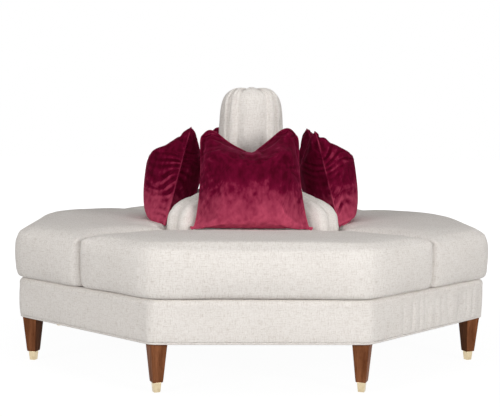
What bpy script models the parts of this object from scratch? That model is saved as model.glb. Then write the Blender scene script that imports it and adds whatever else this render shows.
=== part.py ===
"""Octagonal tete-a-tete settee: four seats round one channelled back, on eight ferruled legs.

Lengths are in metres, +Z is up and the front seat faces -Y. The origin is on the floor under
the middle of the settee.
"""
import math

import bmesh
import bpy
from mathutils import Vector
from mathutils.bvhtree import BVHTree

# Counts
SIDES = 8
SEATS = 4

# Clearance between touching pieces, and the length by which a cutter runs past what it cuts
GAP = 0.0003
SOFT_GAP = 0.0006
OVERRUN = 0.02

# Legs, their brass ferrules and the bolts that hold them
LEG_HEIGHT = 0.1735
LEG_TOP_WIDTH = 0.060
LEG_FOOT_WIDTH = 0.037
LEG_FOOT_CHAMFER = 0.0025
LEG_INSET = 0.056
FERRULE_HEIGHT = 0.035
FERRULE_TOP_WIDTH = 0.028
FERRULE_FOOT_WIDTH = 0.022
FERRULE_WALL = 0.0018
FERRULE_FLOOR = 0.004
BOLT_RADIUS = 0.004
BOLT_IN_LEG = 0.038
BOLT_IN_BLOCK = 0.045
BOLT_POINT = 0.008

# Frame inside the base
BASE_ACROSS = 1.830
COVER_THICK = 0.014
RAIL_THICK = 0.020
RAIL_HEIGHT = 0.122
BLOCK_HEIGHT = 0.070
BLOCK_SIDE = 0.090
BLOCK_DEPTH = 0.035
DECK_THICK = 0.015
DUST_COVER_THICK = 0.001
DUST_COVER_INSET = 0.006

# Base upholstery
PAD_THICK = 0.0165
COVER_LAP = 0.070
COVER_CORNER_RADIUS = 0.055
COVER_INSIDE_RADIUS = 0.002
COVER_EDGE_RADIUS = 0.020
COVER_DRAW_IN = 0.003
COVER_DRAW_HEIGHT = 0.030
WELT_RADIUS = 0.0035

# Seat cushions
CUSHION_OVERHANG = 0.013
CUSHION_SPLIT = 0.002
CUSHION_EDGE_HEIGHT = 0.193
CUSHION_CROWN = 0.016
CUSHION_SIDE_BULGE = 0.003
CUSHION_DRAW_IN = 0.006
CUSHION_SEAM_HEIGHT = 0.016
CUSHION_BACK_CLEARANCE = 0.011

# Channelled back
BACK_HEIGHT = 0.7605
WING_REACH = 0.446
CHANNEL_WIDTH = 0.066
CHANNEL_DEPTH = 0.017
COLUMN_RADIUS = 0.145
PANEL_RADIUS = 0.264
BUTTON_RADIUS = 0.018
BUTTON_HEIGHT = 0.007
RIB_THICK = 0.018
RIB_INSET = 0.036
CAP_RADIUS = 0.092
CAP_THICK = 0.015
CAP_DEPTH = 0.062

# Throw pillows
PILLOW_WIDTH = 0.480
PILLOW_HEIGHT = 0.390
PILLOW_FRONT_THICK = 0.132
PILLOW_BACK_THICK = 0.084
PILLOW_SEAM = 0.006
PILLOW_CHOP = 0.118
PILLOW_LEAN = math.radians(14.5)

# Facets
SMOOTH_ANGLE = math.radians(40.0)
MERGE_DISTANCE = 0.00001
CORNER_STEPS = 4
WELT_SIDES_RESOLUTION = 1
BOLT_SIDES = 12
CAP_SIDES = 32
BUTTON_SIDES = 24
EDGE_STEPS = 4

# Ridge of one wing, centre to seat: shares of WING_REACH and BACK_HEIGHT for the ridge, shares
# of PANEL_RADIUS and BACK_HEIGHT for the panel between two wings, and the share of
# CHANNEL_WIDTH that a channel has there
BACK_ROW_SHARES = (
    (0.123, 0.997, 0.189, 0.997, 0.22),
    (0.213, 0.988, 0.322, 0.983, 0.38),
    (0.274, 0.961, 0.410, 0.955, 0.47),
    (0.307, 0.919, 0.459, 0.916, 0.53),
    (0.321, 0.860, 0.486, 0.860, 0.56),
    (0.325, 0.787, 0.498, 0.787, 0.57),
    (0.332, 0.708, 0.512, 0.706, 0.58),
    (0.348, 0.629, 0.538, 0.622, 0.60),
    (0.377, 0.557, 0.580, 0.546, 0.63),
    (0.426, 0.498, 0.640, 0.484, 0.68),
    (0.498, 0.456, 0.705, 0.440, 0.75),
    (0.594, 0.430, 0.760, 0.408, 0.83),
    (0.706, 0.410, 0.802, 0.380, 0.90),
    (0.807, 0.393, 0.838, 0.354, 0.94),
    (0.897, 0.368, 0.868, 0.328, 0.97),
    (0.960, 0.331, 0.900, 0.295, 1.00),
    (0.989, 0.281, 0.930, 0.248, 1.00),
    (0.998, 0.190, 0.970, 0.165, 1.00),
    (1.000, 0.000, 1.000, 0.000, 1.00),
)
# Across a wing: shares of the half width, and of CHANNEL_DEPTH below the crest
CHANNEL_SHARES = (
    (-1.00, 1.00), (-0.74, 0.25), (-0.30, 0.06), (0.00, 0.50),
    (0.30, 0.06), (0.74, 0.25), (1.00, 1.00),
)
# Where the panel's bend lies, as a share of its half width, and how tightly it bends
PANEL_BEND_SHARE = 0.55
PANEL_BEND_WEIGHT = 2.0
PANEL_STEPS = 3

# Outline of a seat cushion: shares of the half front face, then of the half corner face
CUSHION_FACE_SHARES = (0.0, 0.80, 1.0)
CUSHION_CORNER_SHARES = (0.24, 0.88, 1.0)
# Rows from the back of the seat to the front
CUSHION_DEPTH_SHARES = (0.0, 0.12, 0.87, 1.0)

# Throw pillow: heights and half widths of its rows, and how full it is
PILLOW_ROW_SHARES = ((0.0, 1.0), (-0.03, 0.92), (0.28, 0.88), (0.64, 0.84), (0.88, 0.815),
                     (1.0, 0.80))
PILLOW_COLUMN_SHARES = (-1.0, -0.70, -0.35, 0.0, 0.35, 0.70, 1.0)
PILLOW_FULL_SHARES = (0.0, 0.84, 1.06, 1.02, 0.74, 0.0)
PILLOW_SIDE_FULL_SHARES = (0.0, 0.88, 1.0, 1.04, 1.0, 0.88, 0.0)
PILLOW_CHOP_SHARES = (0.0, 0.08, 0.56, 1.0, 0.56, 0.08, 0.0)

# Heights and radii that follow from the sizes above
TURN = math.tau / SIDES
FRAME_BOTTOM = LEG_HEIGHT + GAP
RAIL_TOP = FRAME_BOTTOM + RAIL_HEIGHT
DECK_BOTTOM = RAIL_TOP + GAP
DECK_TOP = DECK_BOTTOM + DECK_THICK
PAD_BOTTOM = DECK_TOP + GAP
BASE_TOP = PAD_BOTTOM + PAD_THICK
BASE_INRADIUS = BASE_ACROSS / 2
HEM_BOTTOM = FRAME_BOTTOM + 2 * WELT_RADIUS + GAP
RAIL_OUTER = BASE_INRADIUS - COVER_THICK - GAP
RAIL_INNER = RAIL_OUTER - RAIL_THICK
LEG_RADIUS = BASE_INRADIUS / math.cos(TURN / 2) - LEG_INSET
SEAT_BOTTOM = BASE_TOP + GAP
SEAT_INRADIUS = BASE_INRADIUS + CUSHION_OVERHANG
BACK_BOTTOM = BASE_TOP + GAP
CAP_BOTTOM = BACK_BOTTOM + BACK_HEIGHT - CAP_DEPTH

SIDE_NAMES = ("right", "back_right", "back", "back_left",
              "left", "front_left", "front", "front_right")
SEAT_NAMES = ("right", "back", "left", "front")


def clear_scene():
    """Start from an empty scene."""
    for thing in list(bpy.data.objects):
        bpy.data.objects.remove(thing, do_unlink=True)


def new_collection(name):
    """A collection in the scene."""
    collection = bpy.data.collections.new(name)
    bpy.context.scene.collection.children.link(collection)
    return collection


def new_material(name, colour, roughness, metallic=0.0):
    """A plain finish."""
    material = bpy.data.materials.new(name)
    material.use_nodes = True
    shader = material.node_tree.nodes["Principled BSDF"]
    shader.inputs["Base Color"].default_value = (*colour, 1.0)
    shader.inputs["Roughness"].default_value = roughness
    shader.inputs["Metallic"].default_value = metallic
    return material


def linen():
    return new_material("linen", (0.78, 0.74, 0.69), 0.9)


def velvet():
    return new_material("velvet", (0.19, 0.010, 0.045), 0.7)


def walnut():
    return new_material("walnut", (0.17, 0.060, 0.028), 0.4)


def brass():
    return new_material("brass", (0.78, 0.62, 0.36), 0.3, 1.0)


def steel():
    return new_material("steel", (0.55, 0.55, 0.56), 0.4, 1.0)


def frame_wood():
    return new_material("frame_wood", (0.62, 0.47, 0.30), 0.7)


def dust_cloth():
    return new_material("dust_cloth", (0.03, 0.03, 0.03), 0.95)


def add_object(name, data, material, collection):
    """A new object in a collection, with its own material."""
    thing = bpy.data.objects.new(name, data)
    if material is not None:
        data.materials.append(material)
    collection.objects.link(thing)
    return thing


def as_cutter(thing):
    """Keep a cutter out of the model and easy to see through."""
    thing.hide_render = True
    thing.display_type = "WIRE"
    return thing


def cut(thing, cutter):
    """Take a cutter's shape out of a piece."""
    boolean = thing.modifiers.new("cut_" + cutter.name, "BOOLEAN")
    boolean.operation = "DIFFERENCE"
    boolean.object = cutter
    return thing


def shade_round(mesh):
    """Smooth shading that keeps sharp edges sharp."""
    mesh.shade_smooth()
    mesh.set_sharp_from_angle(angle=SMOOTH_ANGLE)


def turned(name, profile, steps, material, collection):
    """A profile of (radius, height) points, top to bottom on its outer side, turned about Z."""
    mesh = bpy.data.meshes.new(name)
    points = [(radius, 0.0, height) for radius, height in profile]
    mesh.from_pydata(points, [(i, i + 1) for i in range(len(points) - 1)], [])
    thing = add_object(name, mesh, material, collection)
    screw = thing.modifiers.new("turn", "SCREW")
    screw.steps = steps
    screw.render_steps = steps
    screw.use_merge_vertices = True
    screw.merge_threshold = MERGE_DISTANCE
    screw.use_smooth_shade = steps > SEATS
    return thing


def plate(name, outline, thickness, material, collection):
    """A flat outline in XY, from Z = 0 up to its thickness, as a welded mesh."""
    curve = bpy.data.curves.new(name + "_outline", "CURVE")
    curve.dimensions = "2D"
    curve.fill_mode = "BOTH"
    curve.extrude = thickness / 2
    spline = curve.splines.new("POLY")
    spline.points.add(len(outline) - 1)
    for point, (x, y) in zip(spline.points, outline):
        point.co = (x, y, 0.0, 1.0)
    spline.use_cyclic_u = True
    guide = bpy.data.objects.new(name + "_outline", curve)
    collection.objects.link(guide)
    bpy.context.view_layer.update()
    flat = bpy.data.meshes.new_from_object(guide.evaluated_get(bpy.context.evaluated_depsgraph_get()))
    bpy.data.objects.remove(guide, do_unlink=True)
    solid = bmesh.new()
    solid.from_mesh(flat)
    bmesh.ops.remove_doubles(solid, verts=solid.verts, dist=MERGE_DISTANCE)
    bmesh.ops.translate(solid, verts=solid.verts, vec=(0.0, 0.0, thickness / 2))
    bmesh.ops.recalc_face_normals(solid, faces=solid.faces)
    solid.to_mesh(flat)
    solid.free()
    flat.name = name
    flat.materials.clear()
    return add_object(name, flat, material, collection)


def loft(name, rings, material, collection, closed=False):
    """Skin a run of rings of equal count, joined end to end or closed by two flat ends."""
    skin = bmesh.new()
    rows = [[skin.verts.new(point) for point in ring] for ring in rings]
    count = len(rings[0])
    pairs = list(zip(rows, rows[1:]))
    if closed:
        pairs.append((rows[-1], rows[0]))
    for upper, lower in pairs:
        for i in range(count):
            j = (i + 1) % count
            skin.faces.new((upper[i], lower[i], lower[j], upper[j]))
    if not closed:
        skin.faces.new(rows[0])
        skin.faces.new(list(reversed(rows[-1])))
    bmesh.ops.recalc_face_normals(skin, faces=skin.faces)
    mesh = bpy.data.meshes.new(name)
    skin.to_mesh(mesh)
    skin.free()
    return add_object(name, mesh, material, collection)


def soft_form(name, cells, place, material, collection, seam=None):
    """A box of cells whose points place(i, j, k) puts, rounded except along its seam."""
    cage = bmesh.new()
    bmesh.ops.create_cube(cage, size=1.0)
    for axis, count in enumerate(cells):
        along = [edge for edge in cage.edges
                 if edge.verts[0].co[axis] != edge.verts[1].co[axis]]
        bmesh.ops.subdivide_edges(cage, edges=along, cuts=count - 1, use_grid_fill=True)
    sewn = set()
    for vert in cage.verts:
        cell = tuple(round((vert.co[axis] + 0.5) * cells[axis]) for axis in range(3))
        vert.co = place(*cell)
        if seam and seam(*cell):
            sewn.add(vert)
    crease = cage.edges.layers.float.new("crease_edge")
    for edge in cage.edges:
        edge[crease] = float(sewn.issuperset(edge.verts))
    bmesh.ops.recalc_face_normals(cage, faces=cage.faces)
    mesh = bpy.data.meshes.new(name)
    cage.to_mesh(mesh)
    cage.free()
    mesh.shade_smooth()
    thing = add_object(name, mesh, material, collection)
    rounding = thing.modifiers.new("rounding", "SUBSURF")
    rounding.levels = 1
    rounding.render_levels = 1
    return thing


def octagon(inradius):
    """Corners of an octagon with flats on the axes."""
    reach = inradius / math.cos(TURN / 2)
    angles = [(k + 0.5) * TURN for k in range(SIDES)]
    return [(reach * math.cos(angle), reach * math.sin(angle)) for angle in angles]


def rounded_octagon(inradius, corner_radius, height):
    """An octagon whose corners are arcs, at one height."""
    reach = (inradius - corner_radius) / math.cos(TURN / 2)
    ring = []
    for k in range(SIDES):
        corner = (k + 0.5) * TURN
        for step in range(CORNER_STEPS + 1):
            angle = corner + (step / CORNER_STEPS - 0.5) * TURN
            ring.append((reach * math.cos(corner) + corner_radius * math.cos(angle),
                         reach * math.sin(corner) + corner_radius * math.sin(angle), height))
    return ring


def at_corner(thing, k):
    """Stand a piece modelled about its own axis at a corner of the base, one edge outward."""
    angle = (k + 0.5) * TURN
    thing.location = (LEG_RADIUS * math.cos(angle), LEG_RADIUS * math.sin(angle), 0.0)
    thing.rotation_euler = (0.0, 0.0, angle)
    return thing


def half_diagonal(width):
    """Centre to corner of a square."""
    return width / math.sqrt(2)


def ferrule_wall_at(height):
    """Outer half diagonal of the ferrule at a height."""
    share = height / FERRULE_HEIGHT
    foot = half_diagonal(FERRULE_FOOT_WIDTH)
    return foot + share * (half_diagonal(FERRULE_TOP_WIDTH) - foot)


def leg_pieces(k, finishes, model, cutters):
    """Ferrule, tapered leg and bolt at one corner, and the cutter for the bolt's hole."""
    number = str(k + 1)
    wall = half_diagonal(2 * FERRULE_WALL)
    socket_top = ferrule_wall_at(FERRULE_HEIGHT) - wall
    socket_foot = ferrule_wall_at(FERRULE_FLOOR) - wall
    ferrule = turned("ferrule_" + number, (
        (0.0, FERRULE_FLOOR), (socket_foot, FERRULE_FLOOR), (socket_top, FERRULE_HEIGHT),
        (half_diagonal(FERRULE_TOP_WIDTH), FERRULE_HEIGHT),
        (half_diagonal(FERRULE_FOOT_WIDTH), 0.0), (0.0, 0.0),
    ), SEATS, finishes["brass"], model)
    fit = half_diagonal(2 * GAP)
    shoulder = FERRULE_HEIGHT + GAP
    foot = half_diagonal(LEG_FOOT_WIDTH)
    leg = turned("leg_" + number, (
        (0.0, LEG_HEIGHT), (half_diagonal(LEG_TOP_WIDTH), LEG_HEIGHT),
        (foot, shoulder + LEG_FOOT_CHAMFER), (foot - LEG_FOOT_CHAMFER, shoulder),
        (socket_top - fit, shoulder), (socket_foot - fit, FERRULE_FLOOR + GAP),
        (0.0, FERRULE_FLOOR + GAP),
    ), SEATS, finishes["walnut"], model)
    bolt_top = LEG_HEIGHT + BOLT_IN_BLOCK
    bolt_foot = LEG_HEIGHT - BOLT_IN_LEG
    bolt = turned("leg_bolt_" + number, (
        (0.0, bolt_top), (BOLT_RADIUS, bolt_top), (BOLT_RADIUS, bolt_foot + BOLT_POINT),
        (0.0, bolt_foot),
    ), BOLT_SIDES, finishes["steel"], model)
    hole = as_cutter(turned("bolt_hole_" + number, (
        (0.0, bolt_top + GAP), (BOLT_RADIUS + GAP, bolt_top + GAP),
        (BOLT_RADIUS + GAP, bolt_foot + BOLT_POINT), (0.0, bolt_foot - GAP),
    ), BOLT_SIDES, None, cutters))
    for piece in (ferrule, leg, bolt, hole):
        at_corner(piece, k)
    cut(leg, hole)
    return hole


def corner_block(k, hole, finishes, model):
    """Glued block inside a corner of the frame, bored for the leg bolt."""
    tip = (RAIL_INNER - GAP) / math.cos(TURN / 2) - LEG_RADIUS
    along = TURN / 2 + math.pi / 2
    shoulder = tip + BLOCK_SIDE * math.cos(along)
    half_width = BLOCK_SIDE * math.sin(along)
    back = shoulder - BLOCK_DEPTH
    outline = ((tip, 0.0), (shoulder, half_width), (back, half_width - BLOCK_DEPTH),
               (back, BLOCK_DEPTH - half_width), (shoulder, -half_width))
    block = plate("corner_block_" + str(k + 1), outline, BLOCK_HEIGHT, finishes["frame"], model)
    at_corner(block, k)
    block.location.z = FRAME_BOTTOM
    return cut(block, hole)


def base_rail(k, finishes, model):
    """One mitred rail of the octagonal frame."""
    mitre = GAP / (2 * math.cos(TURN / 2))
    outer = RAIL_OUTER * math.tan(TURN / 2) - mitre
    inner = RAIL_INNER * math.tan(TURN / 2) - mitre
    outline = ((RAIL_INNER, -inner), (RAIL_OUTER, -outer), (RAIL_OUTER, outer), (RAIL_INNER, inner))
    rail = plate("base_rail_" + SIDE_NAMES[k], outline, RAIL_HEIGHT, finishes["frame"], model)
    rail.location.z = FRAME_BOTTOM
    rail.rotation_euler.z = k * TURN
    return rail


def halved_outline(half_outline, slot, low, high):
    """A board outline in (across, height), mirrored, with a slot between two heights."""
    right = list(half_outline)
    left = [(-x, z) for x, z in reversed(half_outline)]
    top = right[0][1]
    if high >= top:
        return [(slot, low), (slot, top)] + right + left + [(-slot, top), (-slot, low)]
    return right + [(slot, low), (slot, high), (-slot, high), (-slot, low)] + left


def upright(board, thickness, turn):
    """Stand a flat board up on its outline's height, centred, and turn it about the axis."""
    board.rotation_euler = (math.pi / 2, 0.0, turn)
    board.location.x = -math.sin(turn) * thickness / 2
    board.location.y = math.cos(turn) * thickness / 2
    return board


def cross_rails(finishes, model):
    """Two boards, halved into each other, that carry the deck across the middle."""
    reach = RAIL_INNER - GAP
    slot = RAIL_THICK / 2 + GAP
    half = ((reach, RAIL_TOP), (reach, FRAME_BOTTOM))
    middle = (FRAME_BOTTOM + RAIL_TOP) / 2
    lower = plate("cross_rail_side_to_side", halved_outline(half, slot, middle, RAIL_TOP),
                  RAIL_THICK, finishes["frame"], model)
    upper = plate("cross_rail_front_to_back",
                  halved_outline(half, slot, FRAME_BOTTOM, middle + GAP),
                  RAIL_THICK, finishes["frame"], model)
    upright(lower, RAIL_THICK, 0.0)
    upright(upper, RAIL_THICK, math.pi / 2)


def deck_pieces(finishes, model):
    """Plywood deck, the felt pad on it and the dust cloth under the frame."""
    deck = plate("deck_board", octagon(RAIL_OUTER), DECK_THICK, finishes["frame"], model)
    deck.location.z = DECK_BOTTOM
    pad = plate("deck_pad", octagon(BASE_INRADIUS - COVER_LAP - GAP), PAD_THICK,
                finishes["linen"], model)
    pad.location.z = PAD_BOTTOM
    inradius = RAIL_OUTER - DUST_COVER_INSET
    cut_off = LEG_RADIUS - half_diagonal(LEG_TOP_WIDTH) - DUST_COVER_INSET
    end = (cut_off - inradius * math.cos(TURN / 2)) / math.sin(TURN / 2)
    outline = []
    for k in range(SIDES):
        for side in (-end, end):
            outline.append((inradius * math.cos(k * TURN) - side * math.sin(k * TURN),
                            inradius * math.sin(k * TURN) + side * math.cos(k * TURN)))
    cloth = plate("dust_cover", outline, DUST_COVER_THICK, finishes["dust"], model)
    cloth.location.z = FRAME_BOTTOM - GAP - DUST_COVER_THICK


def base_cover(finishes, model):
    """Padded linen band round the rails, rolled over the deck's edge."""
    outside = [(COVER_DRAW_IN, HEM_BOTTOM), (0.0, HEM_BOTTOM + COVER_DRAW_HEIGHT)]
    for step in range(EDGE_STEPS + 1):
        angle = step / EDGE_STEPS * math.pi / 2
        outside.append((COVER_EDGE_RADIUS * (1 - math.cos(angle)),
                        BASE_TOP - COVER_EDGE_RADIUS * (1 - math.sin(angle))))
    inside = [(COVER_LAP, BASE_TOP), (COVER_LAP, PAD_BOTTOM),
              (COVER_THICK, PAD_BOTTOM), (COVER_THICK, HEM_BOTTOM)]
    rings = [rounded_octagon(BASE_INRADIUS - inset, COVER_CORNER_RADIUS - inset, z)
             for inset, z in outside]
    rings += [rounded_octagon(BASE_INRADIUS - inset, COVER_INSIDE_RADIUS, z)
              for inset, z in inside]
    cover = loft("base_cover", rings, finishes["linen"], model, closed=True)
    shade_round(cover.data)
    return cover


def base_welt(finishes, model):
    """Corded seam under the hem of the base cover."""
    curve = bpy.data.curves.new("base_welt", "CURVE")
    curve.dimensions = "3D"
    curve.bevel_depth = WELT_RADIUS
    curve.bevel_resolution = WELT_SIDES_RESOLUTION
    inset = COVER_DRAW_IN + WELT_RADIUS
    path = rounded_octagon(BASE_INRADIUS - inset, COVER_CORNER_RADIUS - inset,
                           FRAME_BOTTOM + WELT_RADIUS)
    spline = curve.splines.new("POLY")
    spline.points.add(len(path) - 1)
    for point, (x, y, z) in zip(spline.points, path):
        point.co = (x, y, z, 1.0)
    spline.use_cyclic_u = True
    return add_object("base_welt", curve, finishes["linen"], model)


def ridge_rows(inset=0.0):
    """Radius and height down the crest of a wing, drawn in square to the crest by an inset."""
    crest = [(row[0] * WING_REACH, BACK_BOTTOM + row[1] * BACK_HEIGHT) for row in BACK_ROW_SHARES]
    crest.insert(0, (BUTTON_RADIUS, crest[0][1]))
    rows = []
    for i, (radius, height) in enumerate(crest):
        before = crest[max(i - 1, 0)]
        after = crest[min(i + 1, len(crest) - 1)]
        slope = Vector((after[0] - before[0], after[1] - before[1])).normalized()
        normal = Vector((-slope.y, slope.x))
        rows.append((radius - inset * normal.x, height - inset * normal.y, normal))
    return rows


def channel_points(crest, normal, half_width, depth, diagonal):
    """Points across one wing, which has two channels with a seam between them."""
    along = Vector((math.cos(diagonal), math.sin(diagonal), 0.0))
    across = Vector((-math.sin(diagonal), math.cos(diagonal), 0.0))
    points = []
    for side, drop in CHANNEL_SHARES:
        radius = crest[0] - drop * depth * normal.x
        height = crest[1] - drop * depth * normal.y
        points.append(along * radius + across * side * half_width + Vector((0.0, 0.0, height)))
    return points


def panel_points(start, panel_radius, panel_height, facing):
    """Points between the edge seams of two wings, bowed round the middle of one seat."""
    out = Vector((math.cos(facing), math.sin(facing), 0.0))
    across = Vector((-math.sin(facing), math.cos(facing), 0.0))
    edge = (start.dot(across), start.dot(out))
    bend = (edge[0] * PANEL_BEND_SHARE, panel_radius)
    points = []
    for step in range(1, 2 * PANEL_STEPS):
        q = 1 - abs(step / PANEL_STEPS - 1)
        weights = ((1 - q) ** 2, 2 * q * (1 - q) * PANEL_BEND_WEIGHT, q ** 2)
        total = sum(weights)
        side = (weights[0] * edge[0] + weights[1] * bend[0]) / total
        reach = (weights[0] * edge[1] + weights[1] * bend[1] + weights[2] * panel_radius) / total
        height = start.z + (panel_height - start.z) * q * q * (3 - 2 * q)
        if step > PANEL_STEPS:
            side = -side
        points.append(out * reach + across * side + Vector((0.0, 0.0, height)))
    return points


def back_rings():
    """Rings down the back, from the button's seat on top to the base."""
    rows = ridge_rows()
    seat = rows[0][1]
    shares = [(0.0, 0.0, BUTTON_RADIUS / PANEL_RADIUS, 0.0, 0.0)] + list(BACK_ROW_SHARES)
    rings = []
    for (radius, height, normal), share in zip(rows, shares):
        top = share is shares[0]
        half_width = BUTTON_RADIUS * math.tan(TURN / 3) if top else share[4] * CHANNEL_WIDTH
        depth = 0.0 if top else CHANNEL_DEPTH * min(1.0, radius / COLUMN_RADIUS)
        panel_radius = share[2] * PANEL_RADIUS
        panel_height = seat if top else BACK_BOTTOM + share[3] * BACK_HEIGHT
        ring = []
        for k in range(SEATS):
            diagonal = (k + 0.5) * math.tau / SEATS
            points = channel_points((radius, height), normal, half_width, depth, diagonal)
            facing = (k + 1) * math.tau / SEATS
            ring += points + panel_points(points[-1], panel_radius, panel_height, facing)
        rings.append([Vector(point) for point in ring])
    for point in rings[0]:
        point.z = seat - CHANNEL_DEPTH / 4
    for point in rings[-1]:
        point.z = BACK_BOTTOM
    return rings


def rib_outline(inset):
    """Half outline of a plywood rib in (across, height), from the cap board down."""
    rows = [row for row in ridge_rows(inset) if row[1] < CAP_BOTTOM]
    half = [(rows[0][0], CAP_BOTTOM)] + [(row[0], row[1]) for row in rows[:-1]]
    return half + [(rows[-1][0], BACK_BOTTOM)]


def back_frame(finishes, model, cutters):
    """Two plywood ribs halved into each other, the cap board on them, and their cutters."""
    slot = RIB_THICK / 2 + GAP
    half = rib_outline(RIB_INSET)
    middle = (BACK_BOTTOM + CAP_BOTTOM) / 2
    outlines = (halved_outline(half, slot, middle, CAP_BOTTOM),
                halved_outline(half, slot, BACK_BOTTOM, middle + GAP))
    pocket = rib_outline(RIB_INSET - GAP)
    pocket[0] = (pocket[0][0], CAP_BOTTOM + GAP)
    pocket[-1] = (pocket[-1][0], BACK_BOTTOM - OVERRUN)
    pocket_outline = pocket + [(-x, z) for x, z in reversed(pocket)]
    cuts = []
    for letter, outline, turn in zip("ab", outlines, (TURN, 3 * TURN)):
        upright(plate("back_rib_" + letter, outline, RIB_THICK, finishes["frame"], model),
                RIB_THICK, turn)
        cutter = plate("rib_pocket_" + letter, pocket_outline, RIB_THICK + 2 * GAP, None, cutters)
        cuts.append(as_cutter(upright(cutter, RIB_THICK + 2 * GAP, turn)))
    cap_top = CAP_BOTTOM + GAP + CAP_THICK
    turned("back_cap_board", ((0.0, cap_top), (CAP_RADIUS, cap_top),
                              (CAP_RADIUS, CAP_BOTTOM + GAP), (0.0, CAP_BOTTOM + GAP)),
           CAP_SIDES, finishes["frame"], model)
    cuts.append(as_cutter(turned("cap_pocket", (
        (0.0, cap_top + GAP), (CAP_RADIUS + GAP, cap_top + GAP),
        (CAP_RADIUS + GAP, CAP_BOTTOM), (0.0, CAP_BOTTOM)), CAP_SIDES, None, cutters)))
    return cuts


def back_cover(cuts, finishes, model):
    """Channelled linen back, one padded body from the crown down to four wings."""
    cover = loft("back_cover", back_rings(), finishes["linen"], model)
    shade_round(cover.data)
    for cutter in cuts:
        cut(cover, cutter)
    return cover


def back_button(finishes, model):
    """Covered button where the channels meet on top."""
    bottom = back_rings()[0][0].z + GAP
    radius = BUTTON_RADIUS - WELT_RADIUS
    profile = []
    for step in range(EDGE_STEPS + 1):
        angle = step / EDGE_STEPS * math.pi / 2
        profile.append((radius * math.sin(angle), bottom + BUTTON_HEIGHT * math.cos(angle)))
    profile.append((0.0, bottom))
    return turned("back_button", profile, BUTTON_SIDES, finishes["linen"], model)


def cushion_edges():
    """Back and front outlines of the front cushion, from its middle to its right split."""
    split = Vector((math.sqrt(0.5), -math.sqrt(0.5)))
    across = Vector((-math.sqrt(0.5), -math.sqrt(0.5)))
    half_gap = CUSHION_SPLIT / 2
    half_face = SEAT_INRADIUS * math.tan(TURN / 2)
    corner = Vector((half_face, -SEAT_INRADIUS))
    end = split * SEAT_INRADIUS + across * half_gap
    front = [Vector((share * half_face, -SEAT_INRADIUS)) for share in CUSHION_FACE_SHARES]
    front += [corner.lerp(end, share) for share in CUSHION_CORNER_SHARES]
    flank = CHANNEL_WIDTH + CUSHION_BACK_CLEARANCE
    nose = WING_REACH + CUSHION_BACK_CLEARANCE
    panel = PANEL_RADIUS + CUSHION_BACK_CLEARANCE
    bend_x = panel - flank * math.sqrt(2)
    back = [Vector((0.0, -panel)), Vector((bend_x, -panel)),
            split * (nose - 2 * CUSHION_BACK_CLEARANCE) + across * (flank + CUSHION_BACK_CLEARANCE),
            split * (nose + CUSHION_BACK_CLEARANCE) + across * flank,
            split * nose + across * flank / 2,
            split * nose + across * half_gap]
    return back, front


def seat_cushion(finishes, model):
    """Front seat cushion: crowned top, drawn-in hem and rounded ends."""
    back, front = cushion_edges()
    levels = (0.0, CUSHION_SEAM_HEIGHT, CUSHION_EDGE_HEIGHT / 2, CUSHION_EDGE_HEIGHT)
    insets = (CUSHION_DRAW_IN, 0.0, -CUSHION_SIDE_BULGE, 0.0)
    last = len(back) - 1
    rows = len(CUSHION_DEPTH_SHARES) - 1

    def place(i, j, k):
        station = abs(i - last)
        side = 1 if i > last else -1
        share = CUSHION_DEPTH_SHARES[rows - j]
        point = back[station].lerp(front[station], share)
        inward = insets[k]
        outward = (front[station] - back[station]).normalized()
        if j == 0:
            point -= outward * inward
        elif j == rows:
            point += outward * inward
        edge = station == last or j in (0, rows)
        rise = CUSHION_CROWN if k == len(levels) - 1 and not edge else 0.0
        return Vector((side * point.x, point.y, SEAT_BOTTOM + levels[k] + rise))

    return soft_form("seat_cushion_front", (2 * last, rows, len(levels) - 1), place,
                     finishes["linen"], model)


def throw_pillow(finishes, model):
    """Front throw pillow: knife-edge seam all round, full middle and a dent in its top edge."""
    columns = len(PILLOW_COLUMN_SHARES) - 1
    rows = len(PILLOW_ROW_SHARES) - 1

    def place(i, j, k):
        height, half_width = PILLOW_ROW_SHARES[k]
        full = PILLOW_FULL_SHARES[k] * PILLOW_SIDE_FULL_SHARES[i]
        side = PILLOW_BACK_THICK if j else PILLOW_FRONT_THICK
        thick = PILLOW_SEAM / 2 + full * side
        lift = height * PILLOW_HEIGHT - PILLOW_CHOP * PILLOW_CHOP_SHARES[i] * height ** 3
        return Vector((PILLOW_COLUMN_SHARES[i] * half_width * PILLOW_WIDTH / 2,
                       thick if j else -thick, lift))

    def on_seam(i, j, k):
        return i in (0, columns) or k in (0, rows)

    return soft_form("throw_pillow_front", (columns, 1, rows), place, finishes["velvet"], model,
                     on_seam)


def surface_samples(thing):
    """World points over a piece's evaluated surface, and a tree of its faces."""
    bpy.context.view_layer.update()
    shape = thing.evaluated_get(bpy.context.evaluated_depsgraph_get())
    mesh = shape.to_mesh()
    points = [thing.matrix_world @ vert.co for vert in mesh.vertices]
    faces = [tuple(face.vertices) for face in mesh.polygons]
    tree = BVHTree.FromPolygons(points, faces)
    samples = list(points)
    for edge in mesh.edges:
        start, end = (points[index] for index in edge.vertices)
        samples += [start.lerp(end, step / SIDES) for step in range(1, SIDES)]
    shape.to_mesh_clear()
    return samples, tree


def bring_to(thing, other, direction, gap):
    """Move a piece along a direction until it is a gap from another piece."""
    samples, tree = surface_samples(thing)
    other_samples, other_tree = surface_samples(other)
    reach = [hit[3] for point in samples if (hit := other_tree.ray_cast(point, direction))[0]]
    reach += [hit[3] for point in other_samples if (hit := tree.ray_cast(point, -direction))[0]]
    thing.location += direction * (min(reach) - gap)


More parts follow.
